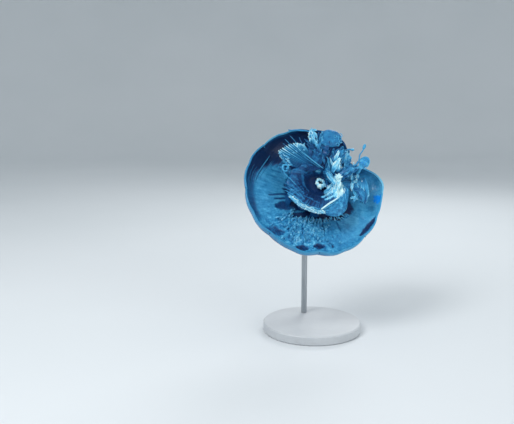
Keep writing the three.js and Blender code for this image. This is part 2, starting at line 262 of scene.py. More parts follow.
def tissue_material(name, patch, fleck, see_through, **values):
    """Gives wet medusa flesh its colours. The tone that each mesh carries says how milky the tissue
    is there, and its grain how much patches and flecks, of sizes in millimetres, break that up."""
    material, tree, surface = begin(name, **values)
    tilt, turn, _ = LEAN_OVER.decompose()
    place = add(
        tree, "Mapping",
        {
            "Vector": add(tree, "TexCoord", {}).outputs["Object"],
            "Location": tilt,
            "Rotation": turn.to_euler(),
            "Scale": (MM, MM, MM),
        },
        vector_type="TEXTURE",
    ).outputs["Vector"]
    tone = add(tree, "Attribute", {}, attribute_name="tone").outputs["Fac"]
    grain = add(tree, "Attribute", {}, attribute_name="grain").outputs["Fac"]
    spot = add(tree, "Attribute", {}, attribute_name="spot").outputs["Fac"]
    patches = add(
        tree, "TexNoise",
        {"Vector": place, "Scale": 1 / patch, "Detail": 4.0, "Roughness": 0.62, "Distortion": 0.6},
    ).outputs["Fac"]
    flecks = add(
        tree, "TexNoise", {"Vector": place, "Scale": 1 / fleck, "Detail": 2.0, "Roughness": 0.6},
    ).outputs["Fac"]
    both = add(tree, "Math", {0: flecks, 1: 0.55, 2: patches}, operation="MULTIPLY_ADD").outputs[0]
    broken = add(tree, "Math", {0: both, 1: 0.775}, operation="SUBTRACT").outputs[0]
    shown = add(
        tree, "Math", {0: broken, 1: grain, 2: tone}, operation="MULTIPLY_ADD", use_clamp=True,
    ).outputs[0]
    milky = add(tree, "ValToRGB", {"Fac": shown}, TISSUE_COLOURS).outputs["Color"]
    vivid = add(
        tree, "Mix", {0: spot, 6: milky, 7: colour("008cf0")}, data_type="RGBA",
    ).outputs[2]
    tree.links.new(vivid, surface.inputs["Base Color"])
    opaque = add(tree, "MapRange", {0: shown, 1: 0.0, 2: 0.7, 3: see_through, 4: 0.97}).outputs[0]
    tree.links.new(opaque, surface.inputs["Alpha"])
    relief = add(
        tree, "Bump", {"Height": both, "Distance": 0.25 * patch * MM, "Strength": 0.35},
    ).outputs["Normal"]
    tree.links.new(relief, surface.inputs["Normal"])
    return material


def jelly_material():
    """Mesoglea, the firm clear jelly of the bell, with the subumbrella's muscle sheet milky on its
    inner face. Jelly is nearly all water, so it has water's low gloss, and it is left smooth and
    wet, so that lamps show in it as small bright glints over deep blue."""
    return tissue_material(
        "wet_mesoglea", 8, 2.6, 0.9,
        Roughness=0.2, IOR=1.35, Specular_IOR_Level=0.35, Coat_Weight=0.12, Coat_Roughness=0.06,
    )


def frill_material():
    """Mouth-arm tissue: soft, thin and folded. It is duller than the bell, with a finer grain."""
    return tissue_material(
        "folded_mouth_arm_tissue", 4.5, 1.8, 0.93,
        Roughness=0.36, IOR=1.37, Specular_IOR_Level=0.25, Coat_Weight=0.06, Coat_Roughness=0.15,
    )


def base_material():
    """Stove-enamelled aluminium: satin pale grey, with the faint orange peel of sprayed enamel."""
    material, tree, surface = begin("satin_enamelled_aluminium", Roughness=0.42, IOR=1.5)
    place = add(tree, "TexCoord", {}).outputs["Object"]
    peel = add(tree, "TexNoise", {"Vector": place, "Scale": 1 / (1.4 * MM), "Detail": 2.0})
    clouds = add(tree, "TexNoise", {"Vector": place, "Scale": 1 / (60 * MM), "Detail": 3.0})
    greys = [(0.3, "b9bdc1"), (0.7, "c6cacd")]
    tint = add(tree, "ValToRGB", {"Fac": clouds.outputs["Fac"]}, greys).outputs["Color"]
    tree.links.new(tint, surface.inputs["Base Color"])
    peeled = {"Height": peel.outputs["Fac"], "Distance": 0.05 * MM, "Strength": 0.4}
    tree.links.new(add(tree, "Bump", peeled).outputs["Normal"], surface.inputs["Normal"])
    return material


def steel_material():
    """Drawn stainless steel: fine lines along the rod that blur its highlight."""
    material, tree, surface = begin("drawn_stainless_steel", Metallic=1)
    stretched = {
        "Vector": add(tree, "TexCoord", {}).outputs["Object"],
        "Scale": (1 / (0.5 * MM), 1 / (0.5 * MM), 1 / (40 * MM)),
    }
    drawn = add(tree, "Mapping", stretched).outputs["Vector"]
    lines = add(tree, "TexNoise", {"Vector": drawn, "Scale": 1.0, "Detail": 2.0}).outputs["Fac"]
    greys = [(0.3, "8f969b"), (0.7, "b9bec2")]
    tint = add(tree, "ValToRGB", {"Fac": lines}, greys).outputs["Color"]
    tree.links.new(tint, surface.inputs["Base Color"])
    blur = add(tree, "MapRange", {0: lines, 3: 0.24, 4: 0.4}).outputs[0]
    tree.links.new(blur, surface.inputs["Roughness"])
    scored = {"Height": lines, "Distance": 0.03 * MM, "Strength": 0.3}
    tree.links.new(add(tree, "Bump", scored).outputs["Normal"], surface.inputs["Normal"])
    return material


def studio_material():
    """Matt emulsion on the studio's floor and sweep: pale, even and free of glare."""
    material, tree, surface = begin("pale_matt_emulsion", Roughness=0.9, Specular_IOR_Level=0.2)
    place = add(tree, "TexCoord", {}).outputs["Object"]
    clouds = add(tree, "TexNoise", {"Vector": place, "Scale": 1.5, "Detail": 2.0}).outputs["Fac"]
    greys = [(0.2, "d2d7da"), (0.8, "d8dcdf")]
    tint = add(tree, "ValToRGB", {"Fac": clouds}, greys).outputs["Color"]
    tree.links.new(tint, surface.inputs["Base Color"])
    return material


JELLY = jelly_material()
FRILL = frill_material()

# ---------------------------------------------------------------- ways of making flesh


def fresh():
    """An empty mesh with the layers that the materials read, and one that gives sheets a wall."""
    bm = bmesh.new()
    for name in ("tone", "grain", "spot"):
        bm.verts.layers.float.new(name)
    bm.verts.layers.float_vector.new("half_wall")
    return bm


def mark(bm, vert, tone, grain=0.25, spot=0.0):
    layers = bm.verts.layers.float
    vert[layers["tone"]] = tone
    vert[layers["grain"]] = grain
    vert[layers["spot"]] = spot


def finish_piece(name, bm, materials, replaced=()):
    """Leans a mesh over into the model's frame and makes it a piece that rides on the model."""
    bm.verts.layers.float_vector.remove(bm.verts.layers.float_vector["half_wall"])
    bmesh.ops.transform(bm, matrix=LEAN_OVER, verts=bm.verts)
    bmesh.ops.recalc_face_normals(bm, faces=bm.faces)
    for face in bm.faces:
        face.smooth = True
    mesh = bpy.data.meshes.new(name)
    bm.to_mesh(mesh)
    bm.free()
    piece = bpy.data.objects.new(name, mesh)
    bpy.context.scene.collection.objects.link(piece)
    for material in materials:
        mesh.materials.append(material)
    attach(piece, "root")
    if replaced:
        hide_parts(*replaced)
    return piece


def sheet(bm, place, across, along, tone_at, thickness=0.8, grain=0.3):
    """A thin closed sheet. place(a, b) says where each point lies, with a and b from 0 to 1."""
    wall = bm.verts.layers.float_vector["half_wall"]
    made = bmesh.ops.create_grid(bm, x_segments=across, y_segments=along, size=0.5)
    for vert in made["verts"]:
        a, b = vert.co.x + 0.5, vert.co.y + 0.5
        mark(bm, vert, tone_at(a, b), grain)
        vert.co = place(a, b)
    faces = list({face for vert in made["verts"] for face in vert.link_faces})
    for face in faces:
        face.normal_update()
    for vert in made["verts"]:
        vert.normal_update()
        vert[wall] = vert.normal * thickness / 2
    walled = bmesh.ops.extrude_face_region(bm, geom=faces)
    for vert in made["verts"]:
        vert.co -= vert[wall]
    for part in walled["geom"]:
        if isinstance(part, bmesh.types.BMVert):
            part.co += part[wall]


def roll_up(bm, sides, along, shape):
    """A closed round shape, rolled up from a grid. shape(vert, turn, run) places each point, from
    its turn in degrees and its run from 0 to 1."""
    made = bmesh.ops.create_grid(bm, x_segments=sides, y_segments=along, size=0.5)
    for vert in made["verts"]:
        shape(vert, 360 * vert.co.x, vert.co.y + 0.5)
    bmesh.ops.remove_doubles(bm, verts=made["verts"], dist=0.0001)
    welded = [vert for vert in made["verts"] if vert.is_valid]
    rims = {edge for vert in welded for edge in vert.link_edges if edge.is_boundary}
    bmesh.ops.holes_fill(bm, edges=list(rims))


def rod(bm, place, sides, along, tone_at, grain=0.25):
    """A closed rod. place(x, y, run) says where each point of the unit rod lies."""

    def shape(vert, turn, run):
        mark(bm, vert, tone_at(run), grain)
        vert.co = place(*towards(turn).xy, run)

    roll_up(bm, sides, along, shape)


def strand(bm, points, radius, tone, sides=6, along=0, root=0.6, tip=0.25, flat=1.0, grain=0.2):
    """A round strand through points, with its thickness at the root and at the tip as shares."""
    steps = along or 4 * len(points)

    def place(x, y, run):
        run = min(max(run, 0.0), 1.0)
        ahead = through(points, min(run + 0.01, 1)) - through(points, max(run - 0.01, 0))
        sideways = Vector((0, 0, 1)).cross(ahead).normalized()
        above = ahead.normalized().cross(sideways)
        swell = mix(root, tip, run) + (1 - mix(root, tip, run)) * math.sin(math.pi * run) ** 0.6
        swell *= 1 - 0.75 * smooth(abs(2 * run - 1), 0.97, 1)
        return through(points, run) + (sideways * x + above * y * flat) * radius * swell

    rod(bm, place, sides, steps, lambda run: tone, grain)


def bead(bm, centre, radius, tone, stretch=(1, 1, 1)):
    scale = Matrix.Diagonal((*(Vector(stretch) * radius), 1))
    place = Matrix.Translation(centre) @ scale
    made = bmesh.ops.create_icosphere(bm, subdivisions=2, radius=1, matrix=place)
    for vert in made["verts"]:
        mark(bm, vert, tone, 0.1)


def leaf(bm, root, tip, half, tone, bow=0.0, cup=0.4, outline=0.12, dim=0.55, twist=0.0):
    """A pointed flap of tissue from its root to its tip: cupped, crumpled, bowed to one side, darker
    at the root, and paler along its outline, where the free edge is thickened."""
    spine = tip - root
    side = spine.cross(Vector((0, 0, 1))).normalized()
    front = side.cross(spine).normalized()
    seed = root.x * 3 + tip.y

    def place(a, b):
        w = 2 * a - 1
        wide = half * math.sin(math.pi * min(max(b, 0.05), 0.985) ** 0.8) ** 0.7
        turned = math.radians(twist * b)
        over = side * math.cos(turned) + front * math.sin(turned)
        wave = 0.18 * half * math.sin(b * 9 + seed + 2 * w)
        point = root + spine * b + side * bow * math.sin(math.pi * b)
        point += over * w * wide + front * (cup * wide * w * w + wave * abs(w))
        crumple = noise.noise_vector(point / 2.6) * 1.1 + noise.noise_vector(point / 5) * 1.2
        return point + crumple * smooth(b, 0, 0.4)

    def shade(a, b):
        w = abs(2 * a - 1)
        flecks = 0.22 * noise.noise(Vector((a * 3, b * 5, seed)))
        return min(1, (tone + flecks) * mix(dim, 1, smooth(b, 0, 0.5)) + outline * w**3)

    sheet(bm, place, 6, 13, shade, 0.8, 0.3)


def ruffle(bm, spine, free_way, width, waves, depth, steps, seed, low, high, rows=6):
    """A ruffled ribbon. Its root runs along spine(s), and its free edge stands off along
    free_way(s) and is gathered into uneven waves. low and high are its tones, root to edge."""

    def place(s, t):
        point, ahead = spine(s)
        outwards = free_way(s)
        facing = ahead.cross(outwards).normalized()
        wander = noise.noise(Vector((s * waves * 0.6, seed, 0)))
        phase = 2 * math.pi * waves * s + 4.5 * wander
        deep = depth * t**1.2 * (0.65 + 0.9 * noise.noise(Vector((s * waves * 0.8, seed, 5))))
        taper = min(1, math.sin(math.pi * min(max(s, 0.03), 0.97)) ** 0.45)
        scallop = 1 + 0.35 * noise.noise(Vector((s * waves * 1.6, seed, 9))) * t
        return (
            point
            + outwards * width * t * taper * scallop
            + facing * deep * (math.sin(phase) + 0.4 * math.sin(phase * 2.6 + seed))
            + ahead * 0.5 * deep * math.cos(phase)
        )

    def shade(s, t):
        glow = 0.75 + 0.8 * noise.noise(Vector((s * waves * 1.1, seed, 12)))
        return min(1, mix(low, high, t**1.8 * glow))

    sheet(bm, place, steps, rows, shade, 0.8, 0.4)


# ---------------------------------------------------------------- the bell


def rim_radius(bearing):
    in_lobe = abs(math.sin(math.radians((bearing - FIRST_NOTCH) * LOBES / 2)))
    pulse = sum(share * bump_at(bearing, centre, spread) for centre, spread, share in PULSE)
    return SKIN_RADIUS * (1 + pulse) - NOTCH_DEPTH * (1 - in_lobe) ** 2 - CLEFT_DEPTH * in_lobe**20


def bell_point(bearing, arc, inwards=0.0):
    """A point between the bell's outer face, 0, and its inner face, 1. The rim's outline takes hold
    by height, alike on both faces, so that the wall never thins out."""
    drop = mix(CROWN_HEIGHT, HOLLOW_DEPTH, inwards) * math.cos(math.radians(arc))
    outer_arc = math.degrees(math.acos(min(drop / CROWN_HEIGHT, 1)))
    towards_rim = min(outer_arc / 90, 1) ** 3
    radius = mix(SKIN_RADIUS, rim_radius(bearing), towards_rim) - MARGIN_WALL * inwards
    point = towards(bearing) * radius * math.sin(math.radians(arc))
    point.z = -drop
    return point


# The muscle sheet's inner edge: bearings and distances from the bell's middle.
SHEET_HEM = [
    (-180, 50), (-150, 44), (-136, 44), (-124, 38), (-116, 35), (-107, 50), (-98, 54), (-69, 46),
    (-50, 47), (-34, 48), (-19, 55), (-5, 66), (4, 72), (13, 78), (30, 70), (60, 62),
]

# How bright the painted highlight along the bell's rim is, and how wide its line is, at bearings.
RIM_HIGHLIGHT_TONE = [
    (-178, 0.6), (-150, 0.56), (-100, 0.58), (-50, 0.62), (20, 0.64), (42, 0.8), (62, 0.68),
    (80, 0.25), (122, 0.2), (134, 0.66), (158, 0.76), (172, 0.62),
]
RIM_HIGHLIGHT_WIDTH = [
    (-178, 1.4), (-100, 1.6), (-20, 2.2), (42, 4.5), (62, 2.0), (122, 1.0), (138, 3.6),
    (158, 3.8), (174, 1.6),
]

# Marks on the muscle sheet: from and to, as they show on the page, half width and tone. The darkest
# are windows, where only clear jelly shows; those beside the arm disc are also painted shade under its edge.
SHEET_MARKS = [
    ((277.5, 206), (294, 204.8), 9.5, 0.13),
    ((268.5, 195), (289, 193.6), 2.0, 0.2),
    ((275, 198.8), (291, 198.2), 1.8, 0.16),
    ((270, 197), (290, 195.8), 1.0, 0.64),
    ((273, 201.2), (292, 200.2), 1.2, 0.62),
    ((272, 212.4), (290, 211), 2.2, 0.6),
    ((286, 211.8), (304, 211.4), 2.6, 0.52),
    ((262, 190), (288, 190.5), 1.0, 0.6),
    ((270, 186), (288, 188.5), 0.9, 0.62),
    ((268, 230), (282, 233), 9.5, 0.18),
    ((297.8, 248.0), (306.2, 248.6), 6.8, 0.03),
    ((315.2, 246.8), (323.6, 246.4), 5.8, 0.03),
    ((331.5, 247), (333, 247), 3.0, 0.06),
    ((375, 218.6), (360.5, 235.5), 3.8, 0.02),
    ((271, 170), (281, 173), 1.6, 0.36),
    ((266, 174.5), (282, 178.5), 1.2, 0.4),
    ((286, 222), (290, 236), 2.2, 0.32),
    ((303, 222), (302, 234), 2.0, 0.32),
    ((322, 223), (324, 236), 2.0, 0.34),
    ((336, 222), (341, 232), 2.0, 0.36),
    ((344, 206), (349, 213), 6.0, 0.05),
    ((262, 214), (266, 224), 1.6, 0.58),
    ((340, 244), (358, 234), 2.0, 0.62),
]
MARKS_ON_FACE = [
    (on_hollow(*start).xy, on_hollow(*end).xy, half, tone) for start, end, half, tone in SHEET_MARKS
]

BLUE_SPOT = (28, 115, 10, 6)  # bearing, distance out, half widths round and outwards


def sheet_tone(bearing, reach):
    """How milky the muscle sheet is on the hollow's face, and how grainy."""
    spoke = towards(bearing)
    here = spoke * reach
    hem = around(SHEET_HEM, bearing) + 3.5 * rough(here, 6, 1) + 2 * rough(here, 2.5, 2)
    sheet_here = smooth(reach, hem - 3, hem + 3)
    turned = bearing % 360
    left_end = mix(160, 194, smooth(reach, 74, 108)) + 9 * rough(spoke * 3 + Vector((0, 0, reach / 2)), 1)
    sheet_here *= smooth(turned if turned > 110 else turned + 360, left_end - 7, left_end + 6)
    if turned < 110:
        sheet_here *= 1 - smooth(turned, 54 + 5 * rough(here, 9, 3), 66)
    left = smooth(-away_from(bearing, -118), -6, 12) if turned > 110 else 0
    tufted = bump_at(bearing, -78, 38)
    right = bump_at(bearing, 20, 40)
    tone = 0.53 + 0.04 * left + 0.05 * tufted + 0.1 * right
    band = left * smooth(reach, 97, 104) * (1 - 0.45 * smooth(turned, 235, 252))
    tone = mix(tone, 0.29, band)
    along = Vector((0, 0, reach / 26))
    rays = rough(spoke * 27 + along, 1, 5) + 0.6 * rough(spoke * 64 + along * 1.7, 1, 6)
    tone += 0.06 * rays * (1 + 0.8 * left) + 0.07 * rough(here, 16, 7)
    patchy = 0.17 * rough(here, 6.5, 8) + 0.14 * rough(here, 3, 9)
    tone += patchy * (0.3 + 1.2 * tufted) * (1 - 0.8 * band)
    # Inside the hem the face is dark, clear jelly; this dark ring round the arm disc is also painted shade under
    # the disc's edge.
    tone = mix(0.05, tone, sheet_here)
    grain = mix(0.06, mix(0.3, 0.9, tufted) * (1 - 0.85 * band), sheet_here)
    flat = here.xy
    wobble = rough(here, 3.5, 2)
    for start, end, half, mark_tone in MARKS_ON_FACE:
        gap, share = off_line(flat, start, end)
        if gap < 2 * half + 2:
            wide = half * (0.55 + 0.45 * math.sin(math.pi * share)) * (1 + 0.35 * wobble)
            tone = mix(tone, mark_tone, 0.95 * (1 - smooth(gap, 0.6 * wide, 1.3 * wide)))
    return tone, grain


BELL_STEPS = 384
OUTER_ROWS = 30
EDGE_ROWS = 4
INNER_ROWS = 78


def bell_profile():
    """Arc and depth in the wall, from the top of the bell out to its margin and back inside."""
    outer = [(MARGIN_CURL * i / OUTER_ROWS, 0.0) for i in range(OUTER_ROWS + 1)]
    round_edge = [(MARGIN_CURL, i / EDGE_ROWS) for i in range(1, EDGE_ROWS)]
    inner = [(MARGIN_CURL * (1 - i / INNER_ROWS), 1.0) for i in range(INNER_ROWS + 1)]
    return outer + round_edge + inner


def make_bell(bm):
    """A shallow bell with a thin margin, drawn in a little at the notches between its lobes."""
    profile = bell_profile()

    def shape(vert, bearing, run):
        arc, wall = profile[round(run * (len(profile) - 1))]
        notch = 1 - abs(math.sin(math.radians((bearing - FIRST_NOTCH) * LOBES / 2)))
        drawn_in = arc - 2 * notch**4 * smooth(arc, 70, MARGIN_CURL)
        point = bell_point(bearing, drawn_in, wall)
        reach = point.xy.length
        from_rim = max(rim_radius(bearing) - reach, 0)
        # A pale line along the rim, painted as the margin's highlight.
        rim = 1 - smooth(from_rim, 0.4, around(RIM_HIGHLIGHT_WIDTH, bearing) + 0.8)
        rim = rim * smooth(arc, 70, 84) if wall > 0.9 else smooth(arc, 78, 92)
        rim_highlight_tone = around(RIM_HIGHLIGHT_TONE, bearing) + 0.06 * rough(point, 5, 3)
        spot = 0.0
        if wall > 0.9:
            tone, grain = sheet_tone(bearing, reach)
            lumps = 0.9 * rough(point, 7, 4) + 0.8 * rough(point, 3.2, 5)
            thick = 1.2 * smooth(tone, 0.1, 0.4) + lumps * grain + 1.5 * (tone - 0.5) * grain
            point.z += thick * smooth(reach, 40, 50) * (1 - smooth(arc, 84, 92))
            centre, out, round_half, out_half = BLUE_SPOT
            sideways = math.radians(away_from(bearing, centre)) * reach / round_half
            spread = math.hypot(sideways, (reach - out) / out_half) + 0.4 * rough(point, 3, 2)
            spot = 1 - smooth(spread, 0.7, 1.1)
        else:
            furrow = notch**3 * smooth(arc, 48, 92)
            canals = abs(math.sin(math.radians((bearing - FIRST_NOTCH) * 2 * LOBES)))
            branch = (1 - canals) ** 3 * smooth(arc, 22, 60)
            warts = max(0, rough(point, 2.4, 6)) * smooth(arc, 4, 20)
            veil = 0.16 * smooth(arc, 36, 80) + 0.1 * rough(point, 22, 7)
            # The tone is lowered along the furrows: painted shade in the grooves.
            tone = 0.2 + veil + 0.16 * branch + 0.2 * warts - 0.1 * furrow
            grain = 0.3
            point.z += 0.7 * warts + 1.4 * furrow
        mark(bm, vert, mix(tone, rim_highlight_tone, rim), mix(grain, 0.15, rim), spot)
        vert.co = point

    roll_up(bm, BELL_STEPS, len(profile) - 1, shape)


RHOPALIUM_ARC = 88


def make_rhopalia(bm):
    """The sense organs: a small pale club with a darker eyespot in each notch of the margin."""
    for number in range(LOBES):
        bearing = FIRST_NOTCH + number * 360 / LOBES
        root = bell_point(bearing, RHOPALIUM_ARC, 0.5) + Vector((0, 0, 1))
        tip = root + towards(bearing) * 2 + Vector((0, 0, 2.4))
        strand(bm, [root - towards(bearing) * 3, root, tip], 1.0, 0.72, 8, 8, 0.7, 0.9)
        bead(bm, tip, 0.9, 0.12)


# ---------------------------------------------------------------- arm disc and pillars

DISC_SHARE = [0, 0.3, 0.42, 0.56, 0.74, 0.88, 0.97, 1, 0.97, 0.84, 0.6, 0.42, 0.36, 0.38, 0.36]
DISC_LEVEL = [MOUTH_FLOOR, MOUTH_FLOOR, -3, 6, 12, 14, 12, 7, 2, -3, -8, -14, -22, -31, -34]
DISC_TO_MOUTH = [1, 1, 0.9, 0.7, 0.4, 0.1, 0, 0, 0, 0, 0, 0, 0, 0, 0]
DISC_ROWS = 96
DISC_STEPS = 300
LIP_WAVES = 11
LIP_WAVE_SHARE = 0.035
LIP_RUN = 0.4  # the run at which the profile passes over the lip


def disc_point(bearing, share, level, shift=0.0):
    reach = towards(bearing) * share
    u = mix(DISC_MIDDLE[0], MOUTH_MIDDLE[0], shift) + DISC_REACH[0] * reach.x
    v = mix(DISC_MIDDLE[1], MOUTH_MIDDLE[1], shift) + DISC_REACH[1] * reach.y
    return Vector((u, v, level))


def disc_place(bearing, run):
    share = max(through(DISC_SHARE, run), 0)
    wave = 1 + LIP_WAVE_SHARE * smooth(share, 0.7, 1) * math.sin(math.radians(bearing * LIP_WAVES))
    return disc_point(bearing, share * wave, through(DISC_LEVEL, run), through(DISC_TO_MOUTH, run))


# Folds on the wall of the mouth: from and to, as they show on the page, half width, tone. The palest, on the
# right, carry painted light, and the darkest, high on the left, painted shade.
WALL_FOLDS = [
    ((338, 183), (339, 198), 9.0, 0.97),
    ((333, 188), (337, 199), 8.0, 0.92),
    ((334, 192), (322, 197.5), 3.2, 0.8),
    ((336, 196), (325, 201), 3.4, 0.84),
    ((330, 185), (326.5, 190), 3.0, 0.75),
    ((326.6, 172.6), (336, 186), 5.0, 0.7),
    ((326.3, 173.8), (334, 183), 1.6, 0.86),
    ((336, 175), (334, 181), 3.0, 0.76),
    ((301.6, 175), (304.3, 185.6), 4.0, 0.34),
    ((304.3, 186), (309, 190), 2.4, 0.34),
    ((316.5, 170.5), (320, 171.6), 2.0, 0.6),
    ((293, 184), (303, 195), 1.4, 0.44),
    ((291, 187.5), (302, 198.5), 1.3, 0.5),
    ((290, 191), (303, 201), 1.4, 0.52),
    ((296, 183), (306, 193), 1.0, 0.36),
    ((298, 190), (313, 201), 1.1, 0.4),
    ((303, 197), (318, 204.5), 1.3, 0.42),
    ((297, 176), (299, 184), 2.6, 0.08),
    ((306, 173), (313, 170), 1.2, 0.4),
    ((292, 178), (298, 182), 1.4, 0.4),
]


def make_disc(bm):
    """The arm disc: a low funnel with streaked walls round the mouth, on a stout foot, with painted shade deep in
    its funnel and a painted highlight along its lip.
    """
    folds = []
    for start, end, half, tone in WALL_FOLDS:
        folds.append((seen_at(*start, 5).xy, seen_at(*end, 5).xy, half, tone))

    def shape(vert, bearing, run):
        spoke = towards(bearing)
        point = disc_place(bearing, run)
        ripple = rough(spoke * 14, 1, 9) + 0.8 * rough(spoke * 31, 1, 4)
        wall = smooth(run, 0.12, 0.24) * (1 - smooth(run, 0.62, 0.8))
        deep = math.hypot((point.x + 1) / 30, (point.y - 4) / 31)
        # Painted shade: the tone falls almost to black deep in the funnel, round the mouth.
        tone = mix(0.02, 0.26, smooth(deep + 0.12 * ripple, 0.72, 1.3))
        tone += 0.17 * ripple * wall * smooth(deep, 0.5, 1.1)
        if run < 0.5:
            flat = point.xy
            wobble = rough(point, 3, 2)
            for start, end, half, fold in folds:
                gap, _ = off_line(flat, start, end)
                gap += 0.35 * half * wobble
                tone = mix(tone, fold, 1 - smooth(gap, 0.35 * half, 1.1 * half))
        under = smooth(run, 0.5, 0.62)
        tone = mix(tone, 0.2 + 0.1 * ripple, under)
        # Painted highlight: a pale band along the crest of the lip, dimmed on the left.
        lip_highlight = math.exp(-(((run - LIP_RUN) / 0.03) ** 2)) * (1 - 0.8 * bump_at(bearing, 160, 60))
        tone += 0.2 * lip_highlight * (1 - under)
        point.z += 0.9 * ripple * wall + 1.2 * (tone - 0.3) * wall * (1 - under)
        mark(bm, vert, min(max(tone, 0.02), 1), 0.4 * wall + 0.05)
        vert.co = point

    roll_up(bm, DISC_STEPS, DISC_ROWS, shape)


PILLARS = 4
FIRST_PILLAR = -45


def make_pillars(bm):
    """Four stout pillars join the arm disc to the bell, wider where they run into each."""
    for number in range(PILLARS):
        bearing = FIRST_PILLAR + number * 360 / PILLARS

        def place(x, y, run, bearing=bearing):
            waist = 1 - 0.34 * math.sin(math.pi * run)
            out = mix(38, 31, run) + 4.5 * waist * x
            foot = Vector((*DISC_MIDDLE, mix(-32, 2, run)))
            return foot + towards(bearing) * out + towards(bearing + 90) * 12 * waist * y

        rod(bm, place, 24, 12, lambda run: 0.24)


# ---------------------------------------------------------------- mouth arms


class Walk:
    """The midline of a mouth arm: it leaves the disc at a bearing and a share of the way out, and
    its heading turns from the first to the last while it rises."""

    def __init__(self, root, share, level, headings, length, rise):
        self.start = disc_point(root, share, level)
        self.headings = headings
        self.length = length
        self.rise = rise

    def at(self, run):
        steps = 24
        point = self.start.copy()
        heading = self.headings[0]
        i = 0
        while i < steps * run:
            heading = mix(*self.headings, i / steps)
            point += towards(heading) * min(1, steps * run - i) * self.length / steps
            i += 1
        point.z += self.rise * math.sin(run * math.pi / 2)
        climb = self.rise * math.cos(run * math.pi / 2) * math.pi / 2 / self.length
        return point, (towards(heading) + Vector((0, 0, climb))).normalized()


ARMS = {
    "mouth_arm_1": (96, 0.8, 9, (205, 152), 72, 16),
    "mouth_arm_2": (116, 0.9, 6, (108, 98), 50, 28),
    "mouth_arm_3": (76, 0.85, 6, (92, 80), 46, 26),
    "mouth_arm_4": (55, 0.85, 6, (64, 46), 44, 22),
    "mouth_arm_5": (28, 0.88, 4, (92, -88), 78, 6),
    "mouth_arm_6": (-10, 0.6, 9, (-25, 15), 40, -2),
    "mouth_arm_7": (-132, 0.95, 8, (-28, 36), 70, 4),
    "mouth_arm_8": (176, 0.85, 6, (176, 210), 28, 10),
}
WALKS = {name: Walk(*arm) for name, arm in ARMS.items()}

# The fleshy stem of each arm: half widths from root to tip, and half its depth.
STEMS = {
    "mouth_arm_2": ([9, 15, 13], 3.2),
    "mouth_arm_3": ([7, 8, 5], 3.0),
    "mouth_arm_4": ([6, 6, 4], 3.0),
    "mouth_arm_5": ([6, 6, 5], 2.4),
    "mouth_arm_7": ([4, 5, 3.5], 2.4),
    "mouth_arm_8": ([5, 4, 3], 2.4),
}

# The ruffled hems of each arm: the hem's width, its waves and their depth, and the ways it stands
# off, in degrees from one side of the arm, over the top, to the other, and its edge's tone.
HEMS = {
    "mouth_arm_2": (9, 6, 2.2, (20, 155), 0.3),
    "mouth_arm_3": (7, 5, 2.6, (5, 175), 0.5),
    "mouth_arm_4": (6, 5, 2.4, (5, 175), 0.55),
    "mouth_arm_5": (6, 7, 2.2, (0, 180), 0.55),
    "mouth_arm_8": (4, 4, 1.8, (0, 180), 0.5),
}


def make_stems(bm):
    """Each arm's fleshy stem, ribbed lengthways and dark between its folds."""
    for name, (widths, deep) in STEMS.items():
        walk = WALKS[name]

        def place(x, y, run, walk=walk, widths=widths, deep=deep):
            point, ahead = walk.at(run)
            sideways = Vector((0, 0, 1)).cross(ahead).normalized()
            above = ahead.cross(sideways)
            end = 1 - 0.8 * smooth(run, 0.8, 1)
            ribs = 1 + 0.2 * rough((x * 3, y * 3, run * 6), 1, 3)
            across = through(widths, run) * end * x * ribs
            return point + sideways * across + above * deep * (0.4 + 0.6 * end) * y * ribs

        shade = 0.3 if name == "mouth_arm_2" else 0.42
        rod(bm, place, 20, 22, lambda run, shade=shade: shade + 0.08 * math.sin(run * 9), 0.7)


def make_hem(bm, name):
    walk = WALKS[name]
    width, waves, depth, turns, high = HEMS[name]
    widths, deep = STEMS[name]
    for number, degrees in enumerate(turns):
        turn = math.radians(degrees)

        def free_way(s, turn=turn):
            ahead = walk.at(s)[1]
            sideways = Vector((0, 0, 1)).cross(ahead).normalized()
            above = ahead.cross(sideways)
            return (sideways * math.cos(turn) + above * math.sin(turn)).normalized()

        def spine(s, turn=turn, free_way=free_way):
            point, ahead = walk.at(s)
            out = mix(deep, through(widths, s), abs(math.cos(turn)))
            return point + free_way(s) * out * 0.6, ahead

        seed = number * 3 + int(name[-1])
        ruffle(bm, spine, free_way, width, waves, depth, waves * 9, seed, 0.2, high)


